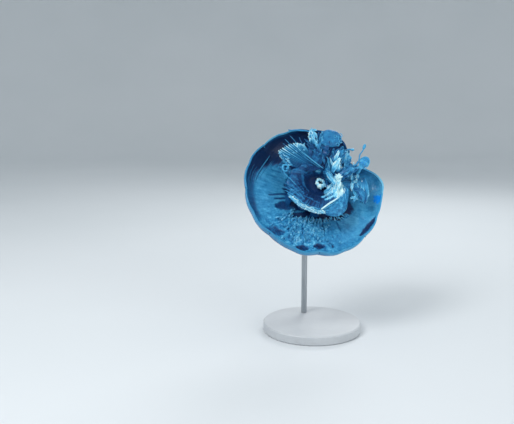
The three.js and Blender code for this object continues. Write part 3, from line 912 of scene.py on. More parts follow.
# Leaf-like flaps on the arms: root x, y, o; tip x, y, o; half width; tone; bow to one side.
ARM_LEAVES = {
    "mouth_arm_2": [
        ((316, 147, 33), (311.6, 128.4, 42.5), 4.2, 0.72, 1.8),
        ((310.6, 139, 38), (310.8, 129.4, 42.5), 3.0, 0.82, -0.6),
        ((318, 148.6, 33), (313.6, 138.6, 38), 2.6, 0.74, 0.5),
        ((313.4, 144, 37), (312.2, 132, 43), 2.6, 0.78, 0.3),
        ((312, 130.6, 42), (317.2, 130.4, 42), 1.8, 0.74, -1.5),
        ((311.2, 142.6, 37), (308.1, 136.6, 41), 2.2, 0.84, 0.5),
        ((307, 143.6, 30), (315.6, 153.5, 26), 3.0, 0.38, -1.0),
        ((304.5, 139, 33), (312.6, 147.4, 31), 2.0, 0.3, -1.0),
        ((316, 156, 24), (322, 147.5, 32), 3.4, 0.32, 1.0),
        ((322, 160, 22), (323.5, 150, 30), 3.2, 0.28, -1.0),
        ((328, 156, 26), (326, 148, 32), 3.6, 0.36, 1.0),
        ((333, 156, 27), (334, 148.5, 32), 3.0, 0.34, -1.0),
        ((320, 144, 36), (321, 133, 41), 3.0, 0.46, 1.0),
        ((318.5, 151, 30), (320.5, 142, 36), 2.2, 0.44, -1.0),
    ],
    "mouth_arm_3": [
        ((332.6, 172.5, 23), (341, 157.6, 34), 4.6, 0.86, -2.0),
        ((337, 172, 23), (339, 161, 32), 3.0, 0.82, 1.0),
        ((333.6, 162, 29), (338.9, 150, 37), 2.8, 0.86, 1.2),
        ((331, 172.5, 16), (326.7, 156.5, 31), 1.9, 0.6, 1.6),
        ((334, 171.5, 21), (329.4, 157.3, 33), 2.0, 0.78, 0.8),
        ((343.2, 173, 19), (344.8, 161, 29), 1.9, 0.52, 1.0),
        ((340.5, 172.5, 18), (341.4, 163.5, 26), 1.6, 0.34, -0.5),
        ((341, 157, 27), (342.5, 146.3, 34), 5.2, 0.4, 0.0),
        ((324.5, 164, 22), (322.5, 154.5, 30), 1.8, 0.4, 0.6),
        ((335.5, 158, 27), (332.6, 151, 32), 1.8, 0.5, 0.0),
        ((337.8, 165, 26), (341.6, 161, 30), 1.6, 0.74, 0.8),
    ],
    "mouth_arm_4": [
        ((346.4, 171.5, 21), (348.9, 159, 30), 2.2, 0.5, -1.0),
        ((347, 162.5, 29), (345.6, 153, 36), 2.5, 0.76, 0.8),
        ((350.9, 161.5, 29), (348.6, 153, 36), 2.3, 0.74, -0.8),
        ((346.5, 156, 28), (348, 148.6, 34), 4.0, 0.42, 0.0),
        ((350, 173, 20), (347.6, 164.5, 27), 1.9, 0.46, -0.6),
        ((354.5, 171.5, 22), (350.2, 165.3, 27), 2.4, 0.68, 0.8),
        ((357.6, 172.5, 22), (352.8, 166.4, 28), 1.9, 0.7, -0.6),
        ((346.5, 176, 14), (352, 175, 16), 2.4, 0.62, 0.6),
        ((352, 181, 12), (351.4, 173.8, 20), 1.9, 0.78, -0.4),
        ((357.6, 180, 12), (356.8, 172.6, 20), 2.1, 0.74, 0.4),
        ((343, 177.5, 13), (349, 174.8, 17), 1.8, 0.66, -0.6),
        ((354, 177.5, 14), (356.8, 175.4, 18), 1.6, 0.8, 0.2),
        ((344, 175.4, 25), (349.6, 170.4, 29), 2.2, 0.56, 0.8),
        ((348.6, 173.6, 26), (355.4, 169.2, 29), 2.2, 0.5, -0.6),
    ],
    "mouth_arm_5": [
        ((362.4, 178, 13), (365.6, 203.4, 5), 7.0, 0.66, -1.5),
        ((361.8, 182, 13), (363.4, 199, 8), 3.4, 0.76, 0.6),
        ((352.6, 180, 12), (358.2, 199.5, 6), 5.6, 0.6, 1.4),
        ((353, 178.5, 14), (351.8, 191, 9), 2.4, 0.76, 0.8),
        ((358, 179, 13), (360, 193, 9), 2.8, 0.62, 0.0),
        ((352, 183, 13), (355, 180.4, 14), 1.8, 0.76, 1.4),
        ((360, 197.5, 7), (350.6, 198.2, 7), 3.8, 0.7, 0.0),
        ((352.4, 202.5, 6.5), (356, 197.8, 7.5), 2.2, 0.6, 1.0),
        ((346.2, 196, 6), (343.4, 187, 10), 2.4, 0.6, 0.6),
    ],
    "mouth_arm_8": [
        ((281.8, 163.6, 17), (285.4, 158, 21), 1.8, 0.56, 0.5),
        ((283, 172.5, 15), (280.2, 166.5, 18), 1.8, 0.5, 0.5),
    ],
}


ROOT_SINK = 2.5  # how far a leaf's root is sunk into what carries it


def page_leaf(bm, root, tip, half, tone, bow=0.0, **more):
    x, y, o = root
    leaf(bm, seen_at(x, y, o - ROOT_SINK), seen_at(*tip), half, tone, bow, **more)


def page_strand(bm, places, radius, tone, **more):
    strand(bm, [seen_at(*place) for place in places], radius, tone, **more)


def leaflets(bm, x_range, y_range, number, tone):
    """Slender leaflets that stand up side by side over a stretch of the page, with their tips up."""
    for count in range(number):
        x = mix(*x_range, (count + random.random()) / number)
        y = random.uniform(*y_range)
        o = 15 + 0.9 * (178 - y)
        tall = random.uniform(6, 11)
        tip = (x + random.uniform(-2.2, 2.2), y - tall, o + 0.8 * tall)
        half = random.uniform(1.1, 2.2)
        page_leaf(bm, (x, y, o), tip, half, tone * random.uniform(0.5, 1.5), random.uniform(-1, 1))


def small_leaves(bm, walk, number, spread, size, tone):
    """Small flaps scattered over an arm, leaning out from its midline and up."""
    for _ in range(number):
        point, ahead = walk.at(random.uniform(0.15, 0.98))
        sideways = Vector((0, 0, 1)).cross(ahead).normalized()
        over = random.uniform(-1, 1)
        root = point + sideways * over * spread * 0.7 + Vector((0, 0, 1))
        rise = Vector((0, 0, random.uniform(0.3, 1)))
        way = (sideways * over * 0.9 + ahead * random.uniform(-0.1, 0.8) + rise).normalized()
        tip = root + way * size * random.uniform(0.6, 1.15)
        half = size * random.uniform(0.14, 0.26)
        leaf(bm, root, tip, half, tone * random.uniform(0.6, 1.3), random.uniform(-1, 1),
             random.uniform(0.2, 0.7), twist=random.uniform(-50, 50))


# How many small flaps an arm has, how far they spread, their size and their tone.
SMALL_LEAVES = {
    "mouth_arm_2": (0, 12, 7, 0.3),
    "mouth_arm_3": (7, 8, 8, 0.56),
    "mouth_arm_4": (8, 7, 7, 0.58),
    "mouth_arm_5": (3, 6, 6, 0.54),
    "mouth_arm_8": (3, 4, 4, 0.5),
}


# Stretches of slender leaflets: x from and to, y from and to, how many and their tone.
LEAFLETS = {
    "mouth_arm_3": [((334, 345), (168, 176), 7, 0.5), ((337, 347), (158, 166), 5, 0.44)],
    "mouth_arm_4": [((342, 358), (170, 180), 13, 0.6), ((343, 352), (158, 168), 6, 0.54)],
    "mouth_arm_5": [((348, 361), (184, 192), 4, 0.62)],
}

# The eighth arm ends in a small curled lobe, as it shows on the page.
SMALL_CURL = [
    (287.6, 170.2, 17), (284.4, 171.2, 17), (282.6, 168.2, 18), (284, 165, 19), (287.4, 165.4, 19),
    (288.2, 168, 18), (286, 168.6, 19),
]


def make_arm(name):
    bm = fresh()
    make_hem(bm, name)
    small_leaves(bm, WALKS[name], *SMALL_LEAVES[name])
    for told in ARM_LEAVES[name]:
        page_leaf(bm, *told)
    for told in LEAFLETS.get(name, ()):
        leaflets(bm, *told)
    if name == "mouth_arm_8":
        page_strand(bm, SMALL_CURL, 1.9, 0.64, sides=8, along=36, root=0.6, tip=0.9)
        page_strand(bm, SMALL_CURL[1:4], 1.2, 0.8, sides=8, along=16)
    finish_piece(name + "_frills", bm, [FRILL])


# The fan's outer edge, round from its lower corner, and its root, as they show on the page.
FAN_EDGE = [(285.5, 163.5, 20), (279.5, 153.5, 24), (286.5, 147.2, 26), (296.5, 144.2, 27), (304.8, 146.2, 27)]
FAN_ROOT = [(311, 171.5, 10), (316, 170, 11), (320, 169, 12), (323, 168.3, 12), (325, 168, 12)]
FAN_PLEATS = 18

# Teeth and curls along the fan, and single strands over and beyond it.
FAN_LOBES = [
    ((290, 161.5, 22), (284.8, 158.8, 22), 1.5, 0.78, 0.3),
    ((291.5, 163.8, 21), (286.6, 161.4, 21), 1.4, 0.72, 0.3),
    ((293, 166, 20), (287.6, 164.4, 20), 1.5, 0.66, 0.3),
    ((288.5, 157, 23), (283.4, 155.2, 23), 1.5, 0.8, -0.3),
    ((298.5, 147.6, 27), (297, 142.6, 29), 3.2, 0.94, 0.0),
    ((302, 149, 27), (304.6, 143.2, 28), 1.6, 0.66, 1.2),
    ((304.6, 148.6, 26), (303, 144, 28), 1.3, 0.6, -1.0),
    ((281.5, 154, 24), (278.2, 150.6, 25), 1.8, 0.96, 0.4),
]
FAN_LINES = [
    ([(301.5, 152, 27), (306.5, 155.5, 25), (312, 160, 21), (318, 164.6, 16), (323.5, 168.6, 13)], 1.3, 0.68),
    ([(303.5, 155.8, 25), (309, 160.3, 21), (315, 164.6, 16), (320.5, 168.2, 13)], 0.8, 0.5),
    ([(297, 143.6, 29), (293.5, 139.4, 30), (289.8, 135.6, 30)], 0.7, 0.44),
    ([(291, 145.8, 28), (288, 142.2, 28), (284.8, 139.0, 28)], 0.7, 0.46),
    ([(287.2, 147.4, 27), (284.8, 144.8, 27), (282.6, 143.2, 27)], 0.6, 0.36),
    ([(302.5, 144.4, 29), (300.4, 140.2, 30), (299, 137, 30)], 0.6, 0.36),
    ([(283.2, 171.5, 17), (287, 176, 17), (291, 179.6, 16.5), (296, 185, 15.5)], 0.9, 0.62),
    ([(281.5, 170, 16), (285, 176.5, 16), (288.5, 180.4, 15.5)], 0.7, 0.44),
]


def make_fan():
    """The first mouth arm is gathered into pleats that spread from its root to a toothed edge."""
    bm = fresh()
    edge = [seen_at(*place) for place in FAN_EDGE]
    root = [seen_at(*place) for place in FAN_ROOT]

    def pleat(a):
        drift = a + 0.012 * noise.noise(Vector((a * 11, 4, 0)))
        return drift * FAN_PLEATS * 2 * math.pi

    def place(a, b):
        start, out = through(root, a), through(edge, a)
        tooth = (out - start).normalized() * 2.5 * smooth(b, 0.88, 1) * math.sin(pleat(a))
        fold = (0.4 + 1.9 * b) * math.sin(pleat(a)) - 3 * math.sin(math.pi * b)
        return start.lerp(out, b) + tooth + Vector((0, 0, fold))

    def shade(a, b):
        # Painted light: the pleats' crests are painted pale as highlights and their troughs darker, brightest
        # over the fan's upper part and towards its edge.
        pleat_crest_highlight = (0.5 + 0.5 * math.sin(pleat(a))) ** 2.2
        lit = 0.9 + 0.6 * noise.noise(Vector((a * 14, b * 2, 7)))
        upper = smooth(a, 0.12, 0.4)
        base = mix(0.14, 0.22, upper) + 0.06 * smooth(b, 0.6, 0.95)
        root_dark = smooth(b, 0.1 + 0.25 * (1 - upper), 0.45 + 0.25 * (1 - upper))
        glow = mix(0.22, 0.38, upper) * smooth(b, 0.15, 0.85)
        tone = mix(0.05, base, root_dark) + pleat_crest_highlight * lit * (0.12 + glow)
        return min(1, tone + 0.2 * smooth(b, 0.84, 0.97) * pleat_crest_highlight)

    sheet(bm, place, FAN_PLEATS * 10, 36, shade, 0.9, 0.15)
    for number in range(FAN_PLEATS):
        a = (number + 0.25) / FAN_PLEATS
        out = through(edge, a)
        way = (out - through(root, a)).normalized()
        length = random.uniform(3.5, 6.5)
        start = out - way * 3 + Vector((0, 0, 0.3))
        tone = random.uniform(0.46, 0.66) + 0.34 * bump_at(a * 360, 80, 55) + 0.3 * bump_at(a * 360, 270, 25)
        leaf(bm, start, start + way * length, 1.5, tone, random.uniform(-0.6, 0.6))
        if number % 2 == 0:
            start = through(root, a).lerp(out, 0.72) + Vector((0, 0, 0.3))
            leaf(bm, start, start + way * 6, 1.1, random.uniform(0.5, 0.75))
    for told in FAN_LOBES:
        page_leaf(bm, *told)
    for told in FAN_LINES:
        page_strand(bm, *told)
    finish_piece("mouth_arm_1_pleats", bm, [FRILL])


# The lower lip, from its left end to its right, as it shows on the page.
LIP_LINE = [
    (289.5, 195.6, 14), (295.5, 201, 15), (302, 206, 16), (311.5, 210, 16), (318.5, 212.2, 15),
    (325, 212.2, 13),
]
LIP_SCALLOPS = 14
# Strands along the lip, as they show on the page: points, radius and tone. The palest, on the right, carries
# painted light.
LIP_LINES = [
    ([(285.5, 190.5, 14), (290.5, 193.5, 15), (296, 197.4, 15), (302, 200.6, 14)], 0.9, 0.56),
    ([(287.5, 193.4, 14), (292, 196.6, 15), (297.5, 200.4, 15)], 0.9, 0.66),
    ([(284, 186.5, 13), (289, 189.6, 15), (295.5, 193.4, 14), (303, 197.4, 11)], 0.8, 0.46),
    ([(283.5, 182.5, 13), (289, 185.2, 15), (296.5, 189.6, 13), (305, 194.2, 8)], 0.8, 0.42),
    ([(321, 209.4, 17), (325, 206.6, 17), (329.4, 203.4, 17), (334.2, 200.4, 17), (339.8, 196.6, 15)], 1.6, 0.97),
    ([(324, 209.6, 16), (330, 205.4, 16), (336, 202, 15)], 0.9, 0.66),
]


def beside(line, run):
    """A point on a line, the way ahead along it and the way to its side."""
    ahead = (through(line, min(run + 0.02, 1)) - through(line, max(run - 0.02, 0))).normalized()
    return through(line, run), ahead, Vector((0, 0, 1)).cross(ahead).normalized()


def make_lower_lip():
    """The seventh mouth arm lies along the lower lip as a crisp gathered roll, with a row of small
    scallops inside it."""
    bm = fresh()
    line = [seen_at(*place) for place in LIP_LINE]

    def roll(x, y, run):
        point, _, sideways = beside(line, run)
        gather = 1 + 0.3 * rough((run * 30, 0, 0), 1, 3) + 0.22 * rough((run * 75, 0, 0), 1, 5)
        full = 3.4 * (0.35 + 0.65 * math.sin(math.pi * min(run * 0.9 + 0.06, 1)) ** 0.6)
        return point + (sideways * x * 1.05 + Vector((0, 0, 1)) * y * 0.8) * full * gather

    def shade(run):
        # A pale roll, with a painted highlight that brightens its right-hand stretch.
        return 0.72 + 0.2 * rough((run * 60, 0, 0), 1, 5) + 0.2 * smooth(run, 0.1, 0.45)

    rod(bm, roll, 12, 130, shade, 0.4)
    for number in range(LIP_SCALLOPS):
        run = (number + random.uniform(0.3, 1)) / (LIP_SCALLOPS + 1)
        point, ahead, _ = beside(line, run)
        inwards = (Vector((*MOUTH_MIDDLE, 0)) - point).normalized()
        inwards.z = 0
        size = random.uniform(1.7, 3.2)
        middle = point + inwards * random.uniform(3.2, 4.6) + Vector((0, 0, 0.6))
        bent = ((-1, 0), (-0.7, 1.4), (0, 2.2), (0.7, 1.4), (1, 0))
        arch = [middle + ahead * size * along + inwards * in_by for along, in_by in bent]
        strand(bm, arch, 0.8, random.uniform(0.5, 0.85), along=14, root=0.8, tip=0.8)
        if number % 2:
            top = point + inwards * random.uniform(0, 2) + Vector((0, 0, 2))
            bead(bm, top, random.uniform(0.9, 1.5), random.uniform(0.8, 1.0), (1.4, 1, 0.8))
    for offset, tall, seed, low, high in ((0.8, 6, 1, 0.6, 1.0), (-1.8, 5, 2, 0.5, 0.92)):

        def spine(s, offset=offset):
            point, ahead, sideways = beside(line, s)
            return point + sideways * offset - Vector((0, 0, 1)), ahead

        ruffle(bm, spine, lambda s: Vector((0, 0, 1)), tall, 8, 1.4, 150, seed, low, high)
    for told in LIP_LINES:
        page_strand(bm, *told)
    finish_piece("mouth_arm_7_hem", bm, [FRILL])


# The sixth arm, a smooth lobe below the mouth: its inner and its outer edge on the page.
LOBE_INNER = [
    (322.5, 210.5, 12), (328.8, 204.8, 12.5), (335.4, 200.4, 12), (341.2, 195.4, 11), (343, 186, 10),
]
LOBE_OUTER = [
    (323.5, 213.6, 9.5), (330.6, 216.2, 9), (339, 216, 8.5), (346.4, 208.4, 8.5), (349, 190, 8.5),
]


def make_lobe():
    """The sixth mouth arm is a smooth rounded lobe, mottled, with a fine pale outline."""
    bm = fresh()
    inner = [seen_at(*place) for place in LOBE_INNER]
    outer = [seen_at(*place) for place in LOBE_OUTER]

    def place(a, b):
        point = through(inner, a).lerp(through(outer, a), b)
        over = math.sin(math.pi * min(max(b, 0.02), 0.98)) ** 0.6
        crown = 3.2 * over * math.sin(math.pi * mix(0.08, 0.92, a)) ** 0.5
        return point + Vector((0, 0, crown + 0.7 * rough(point, 4, 3)))

    def shade(a, b):
        rim = smooth(abs(2 * b - 1), 0.84, 0.98) + 0.6 * smooth(abs(2 * a - 1), 0.9, 1)
        flecks = 0.26 * rough((a * 9, b * 6, 3), 1) + 0.2 * rough((a * 26, b * 16, 5), 1)
        return min(1, 0.54 - 0.1 * b + flecks + 0.16 * rim)

    sheet(bm, place, 44, 22, shade, 1.6, 0.5)
    finish_piece("mouth_arm_6_lobe", bm, [FRILL])


# The bright knot of folds right of the mouth, pale dense tissue brightened with painted light: root, tip, half
# width, tone, bow.
WHITE_FOLDS = [
    ((337.8, 182.5, 20), (339.0, 173.2, 25), 4.2, 1.0, 0.0),
    ((334.2, 177.6, 22), (342.8, 176.6, 24), 3.5, 1.0, 0.0),
    ((341, 180.2, 21), (335.4, 174.2, 24), 2.6, 0.98, 0.0),
    ((335, 180.2, 20), (341.4, 174, 25), 2.6, 1.0, 0.0),
    ((337, 190, 14), (338.4, 179, 21), 5.0, 0.94, 0.0),
    ((326.4, 172.6, 16), (337, 187, 17), 4.0, 0.74, 0.0),
    ((331, 176, 10), (338.5, 184, 12), 3.6, 0.84, -0.8),
    ((336.6, 181, 11), (340.6, 200, 11), 6.0, 1.0, -1.4),
    ((333.5, 184, 8), (337.2, 200.5, 10), 5.0, 0.98, 1.2),
    ((341, 182, 12), (342.4, 199, 12), 3.4, 0.94, -1.2),
    ((337.5, 195.5, 11), (328, 202.6, 9), 2.8, 0.92, 0.4),
    ((326, 173.5, 9), (334.5, 183.4, 9), 1.6, 0.9, 0.6),
    ((324.4, 186, 0), (330, 187.4, 3), 2.2, 0.82, 0.4),
    ((329, 188.6, 4), (333, 196.5, 7), 3.2, 0.86, 0.4),
]


# Fine streaks that fan out from the bright folds over the mouth's floor: where the first and the
# last one begin and end on the page.
STREAKS = 16
STREAK_ROOTS = ((333.5, 181.5, 10), (338.6, 195.4, 13))
STREAK_TIPS = ((327.6, 187.4, 5), (331.4, 201.8, 10))


def make_white_folds():
    """Bright folds in a knot, which fray into finer and dimmer streaks towards the mouth. Their pale dense tissue
    is brightened with painted light.
    """
    bm = fresh()
    for told in WHITE_FOLDS:
        page_leaf(bm, *told, outline=0.08, cup=0.55, dim=0.86)
    for number in range(STREAKS):
        share = number / (STREAKS - 1)
        root, tip = [Vector(first).lerp(Vector(last), share) for first, last in (STREAK_ROOTS, STREAK_TIPS)]
        tip.x -= (5 + random.uniform(-2, 2)) * math.sin(math.pi * share)
        half = random.uniform(0.9, 1.7)
        page_leaf(bm, root, tip, half, random.uniform(0.56, 0.84), random.uniform(-0.7, 0.7), dim=0.9)
    finish_piece("mouth_wall_folds", bm, [FRILL])


MOUTH_RING = (3, 22)
MOUTH_RING_RADIUS = 6.2
MOUTH_RING_THICKNESS = 3.5


def make_mouth_ring():
    """The mouth: a puckered pale ring, thicker towards the bright folds, with a drop below it."""
    bm = fresh()
    centre = Vector((*MOUTH_RING, MOUTH_FLOOR + MOUTH_RING_THICKNESS + 0.8))

    def shape(vert, bearing, run):
        way = towards(bearing)
        across = towards(360 * run)
        pucker = 0.5 * rough(way * 1.6, 1, 2) + 0.34 * rough(way * 4.6, 1, 5)
        fat = MOUTH_RING_THICKNESS * (0.72 + 0.9 * pucker + 0.5 * bump_at(bearing, -40, 70))
        fat = max(fat, 0.8)
        out = MOUTH_RING_RADIUS * (1 + 0.3 * rough(way * 1.2, 1, 7)) + across.x * fat
        lumps = 0.5 * rough(centre + way * out, 1.6, 3)
        mark(bm, vert, 0.9 + 0.4 * pucker + 0.1 * lumps, 0.5)
        vert.co = centre + way * (out + lumps) + Vector((0, 0, across.y * fat * 0.9 + lumps))

    roll_up(bm, 72, 12, shape)
    page_strand(bm, [(319.6, 185.6, -3), (320.6, 188, -2), (321.2, 189.6, -2)], 1.5, 0.8)
    page_strand(bm, [(322.5, 183.6, -3), (325, 184.6, -1), (327.2, 186.4, 0)], 1.3, 0.84)
    page_leaf(bm, (314.6, 170.2, 8), (320, 172, 6), 1.7, 0.7, 0.3)
    page_leaf(bm, (322.6, 171.4, 8), (325.4, 173.4, 7), 1.2, 0.42, 0.3)
    finish_piece("mouth_ring_pucker", bm, [FRILL])


HOOD = {"u": -21, "v": 86, "o": 37, "long": 20, "wide": 17, "thick": 6, "turn": 35}
PADDLE = {"u": 49, "v": 80, "o": 29, "long": 15, "wide": 9, "thick": 2.4, "turn": 84}

# Curls on the hood's edge: x and y on the page, radius in pixels, and where each begins.
HOOD_CURLS = [
    (337, 138.6, 1.7, 2.0), (340.2, 135.6, 1.9, 4.0), (340.8, 141.4, 1.5, 0.5),
    (335.2, 136.2, 1.3, 5.0), (337.6, 144.6, 1.5, 3.0), (333.4, 140.6, 1.2, 1.0),
]
HOOD_FLAPS = [
    ((321, 145, 36), (322.4, 136, 41), 1.6, 0.56, 0.6),
    ((325, 147, 35), (328.5, 141, 39), 2.6, 0.52, 0.6),
    ((331, 147, 34), (334.6, 143.5, 37), 2.0, 0.5, 0.4),
    ((322.4, 135, 40), (322, 130.4, 42), 1.3, 0.6, 0.0),
]


def on_lobe(lobe, across, along, rise):
    """A point of a flat lobe, from shares of its half width, half length and thickness."""
    turned = Matrix.Rotation(math.radians(lobe["turn"]), 3, "Z")
    flat = Vector((along * lobe["long"], across * lobe["wide"], rise * lobe["thick"]))
    return turned @ flat + Vector((lobe["u"], lobe["v"], lobe["o"]))


def make_hood():
    """A thin domed veil over the second arm, with a bright outline and small curls along it."""
    bm = fresh()

    def place(a, b):
        x, y = 2 * a - 1, 2 * b - 1
        x, y = x * math.sqrt(1 - y * y / 2), y * math.sqrt(1 - x * x / 2)
        reach = min(math.hypot(x, y), 1)
        dome = math.sqrt(max(1 - reach * reach, 0))
        creases = 0.05 * math.sin(math.atan2(y, x) * 9 + 2) * reach**2
        creases += 0.1 * rough((x * 2, y * 2, 0), 1, 4)
        return on_lobe(HOOD, x * 0.98, y * 0.98, dome * 0.8 - 0.35 + creases)

    def shade(a, b):
        x, y = 2 * a - 1, 2 * b - 1
        clouds = 0.14 * rough((x * 1.6, y * 1.6, 5), 1) + 0.08 * rough((x * 5, y * 5, 1), 1)
        return 0.41 + clouds + 0.2 * smooth(max(abs(x), abs(y)), 0.88, 0.98)

    sheet(bm, place, 36, 36, shade, 0.8, 0.3)
    for x, y, size, start in HOOD_CURLS:
        turns = [start + t * 0.75 for t in range(8)]
        loop = [seen_at(x + size * math.cos(t), y + size * math.sin(t), 37 + 0.4 * t) for t in turns]
        strand(bm, loop, 0.75, 0.66, along=22, root=0.9, tip=0.5)
    for told in HOOD_FLAPS:
        page_leaf(bm, *told)
    finish_piece("mouth_arm_2_hood", bm, [FRILL])


def make_paddle():
    """A flat paddle on the fourth arm, with two rows of vivid blue stinging warts."""
    bm = fresh()

    def lens(x, y, run):
        along = 2 * run - 1
        wide = math.sqrt(max(1 - along**2, 0.002)) * mix(0.66, 1.0, smooth(run, 0.1, 0.7))
        bent = 0.5 * math.sin(math.pi * run) - 0.25
        return on_lobe(PADDLE, x * wide, along, y * wide * 0.9 + bent)

    def shade(run):
        return 0.6 + 0.12 * smooth(run, 0.7, 1) + 0.1 * math.sin(run * 14)

    rod(bm, lens, 20, 24, shade, 0.5)
    for row in (-1, 1):
        for number in range(6):
            along = mix(-0.35, 0.72, number / 5)
            across = row * 0.26 * (1 - 0.3 * along)
            rise = mix(1.15, 0.75, smooth(along, 0.3, 0.72))
            before = len(bm.verts)
            bead(bm, on_lobe(PADDLE, across, along, rise), 1.05, 0.62, (1, 1, 0.6))
            bm.verts.ensure_lookup_table()
            for vert in bm.verts[before:]:
                mark(bm, vert, 0.62, 0.1, 0.75 if number % 2 else 0.25)
    turns = [math.pi * (step / 16 - 0.5) * 1.5 for step in range(17)]
    outline = [on_lobe(PADDLE, math.sin(t) * 0.97, math.cos(t) * 0.97, 0.25) for t in turns]
    strand(bm, outline, 0.8, 0.72, along=50, root=0.7, tip=0.7)
    stalk = [seen_at(356, 173, 22), seen_at(358.6, 171.6, 26), on_lobe(PADDLE, 0, -0.8, 0.2)]
    strand(bm, stalk, 3.0, 0.6, along=12, root=0.9, tip=1.2, flat=0.5)
    finish_piece("mouth_arm_4_paddle", bm, [FRILL])


# Filaments that stand off the arms, as they show on the page, and the club at the end of each:
# its place, radius, tone and half length.
FILAMENTS = [
    ([(352.4, 167, 26), (356.4, 164.6, 28), (358.9, 160, 31), (359.9, 155, 34), (362.6, 150.8, 38),
      (364, 148, 39.5)], 1.15, 0.58, ((364.3, 146.8, 40), 2.7, 0.64, 5.0)),
    ([(344.5, 152, 32), (348.5, 149.6, 33.5), (351, 149.6, 35)], 1.6, 0.56,
     ((352.6, 149.7, 35.5), 2.3, 0.7, 3.0)),
    ([(350, 171, 22), (352.6, 167, 26), (356, 164.8, 28), (358.4, 161.4, 30)], 1.9, 0.52, None),
    ([(313, 135.5, 40), (310.4, 132.4, 39.5), (306, 130.8, 36), (301, 130.7, 34), (296, 130, 32.5), (291, 130.4, 31), (288.2, 129.8, 30.5)],
     1.3, 0.54, None),
]


def make_filaments():
    """Fine feelers off the arms; two end in a small club."""
    bm = fresh()
    for places, radius, tone, club in FILAMENTS:
        page_strand(bm, places, radius, tone, along=30, root=0.9, tip=0.9)
        if club:
            place, fat, club_tone, tall = club
            end = seen_at(*place)
            way = (end - seen_at(*places[-2])).normalized()
            line = [end - way * tall, end, end + way * tall]
            strand(bm, line, fat, club_tone, sides=10, along=12, root=0.3, tip=0.3)
    finish_piece("mouth_arm_filaments", bm, [FRILL])


# Hair-like streaks where the muscle sheet frays into clear jelly, as they show on the page.
HAIRS = [
    ([(269.9, 155.6), (266.4, 160.8), (261.8, 167.2), (257.6, 173.6), (255.2, 179.6), (254.2, 185)], 1.2, 0.56),
    ([(254.4, 164), (251.4, 169.6), (249.2, 175.4), (247.8, 182), (247.6, 189)], 0.7, 0.36),
    ([(257.2, 166.5), (254, 171), (251.8, 176.5), (250.6, 183), (250.4, 190)], 0.7, 0.38),
    ([(262.4, 168.4), (258, 175.4), (255.6, 181.4)], 0.55, 0.3),
    ([(251.2, 170.5), (248.6, 176), (247, 181.8)], 0.55, 0.32),
    ([(272.5, 160.4), (268, 166.6), (263.8, 171.4), (260, 177.6)], 0.6, 0.44),
    ([(274.5, 176.4), (280.5, 178.6), (287, 181.6)], 0.7, 0.6),
    ([(268.5, 180), (275.5, 181.6), (283.5, 184.8)], 0.7, 0.62),
    ([(273.5, 196.9), (282, 196.5), (289.5, 198.3)], 0.65, 0.62),
    ([(277.5, 200.6), (285, 199.8), (293.5, 202.4)], 0.65, 0.58),
]


def make_hairs():
    bm = fresh()
    for places, radius, tone in HAIRS:
        points = [on_hollow(*place, 1.2) for place in places]
        strand(bm, points, radius, tone, sides=6, along=24, root=0.15, tip=0.5, flat=0.7)
    finish_piece("muscle_sheet_strands", bm, [JELLY])


TUFTS = 260
HEM_TUFTS = 90
BAKE_PATCH = 0.003  # how much of the bake map one tuft covers
BAKE_WIDTH = 262  # millimetres across the bell that the bake map spans


WINDOW_TONE = 0.25  # a mark on the muscle sheet that is darker than this is a window


def in_window(point):
    """Whether a place on the muscle sheet lies in one of its windows, where nothing grows."""
    for start, end, half, tone in MARKS_ON_FACE:
        if tone < WINDOW_TONE and off_line(point.xy, start, end)[0] < half:
            return True
    return False


def make_tufts():
    """Small soft papillae in loose tufts on the muscle sheet, thickest along its inner hem, where
    they point at the arm disc. Each is a patch on the bake map at its root's place."""
    bm = fresh()
    bake = bm.loops.layers.uv.new("OFBake")
    for number in range(TUFTS):
        at_hem = number < HEM_TUFTS
        bearing = random.uniform(-112, 4) if at_hem else random.triangular(-122, -20, -80)
        hem = around(SHEET_HEM, bearing)
        out = hem + random.uniform(-2, 5) if at_hem else random.uniform(hem + 4, 104)
        length = random.uniform(5, 10) if at_hem else random.uniform(4, 8)
        tone = random.uniform(0.54, 0.78) if at_hem else random.uniform(0.5, 0.72)
        root = towards(bearing) * out + Vector((0, 0, hollow_level(out) + 0.6))
        inwards = -towards(bearing + random.uniform(-28, 28))
        lift = Vector((0, 0, random.uniform(0.25, 0.8)))
        bend = towards(bearing + 90) * random.uniform(-1.6, 1.6)
        middle = root + (inwards + lift).normalized() * length * 0.5 + bend
        tip = root + (inwards + lift * 0.7).normalized() * length
        thick = random.uniform(0.9, 1.5) if at_hem else random.uniform(1.3, 2.3)
        if not at_hem and (in_window(root) or in_window(tip)):
            continue
        before = len(bm.faces)
        strand(bm, [root, middle, tip], thick, tone, 6, 5, 1.1, 0.4, 0.7, 0.6)
        bm.faces.ensure_lookup_table()
        for face in bm.faces[before:]:
            for i, loop in enumerate(face.loops):
                corner = Vector((i % 2, i // 2 % 2)) * BAKE_PATCH
                loop[bake].uv = Vector((0.5, 0.5)) + root.xy / BAKE_WIDTH + corner
    finish_piece("muscle_sheet_tufts", bm, [JELLY])


# ---------------------------------------------------------------- the animal, put together


def make_skin():
    """One skin over the whole medusa: bell, arm disc, pillars and the stems of the arms."""
    skin = fresh()
    for make in (make_bell, make_rhopalia, make_disc, make_pillars, make_stems):
        part = fresh()
        make(part)
        bmesh.ops.recalc_face_normals(part, faces=part.faces)
        for face in part.faces:
            face.material_index = 1 if make in (make_disc, make_stems) else 0
        loose = bpy.data.meshes.new("loose")
        part.to_mesh(loose)
        part.free()
        skin.from_mesh(loose)
        bpy.data.meshes.remove(loose)
    replaced = [name for name in nodes if not name.startswith("stand_")]
    finish_piece("medusa_skin", skin, [JELLY, FRILL], replaced)


make_skin()
make_fan()
for arm_name in HEMS:
    make_arm(arm_name)
make_lobe()
make_lower_lip()
make_white_folds()
make_mouth_ring()
make_hood()
make_paddle()
make_filaments()
make_hairs()
make_tufts()

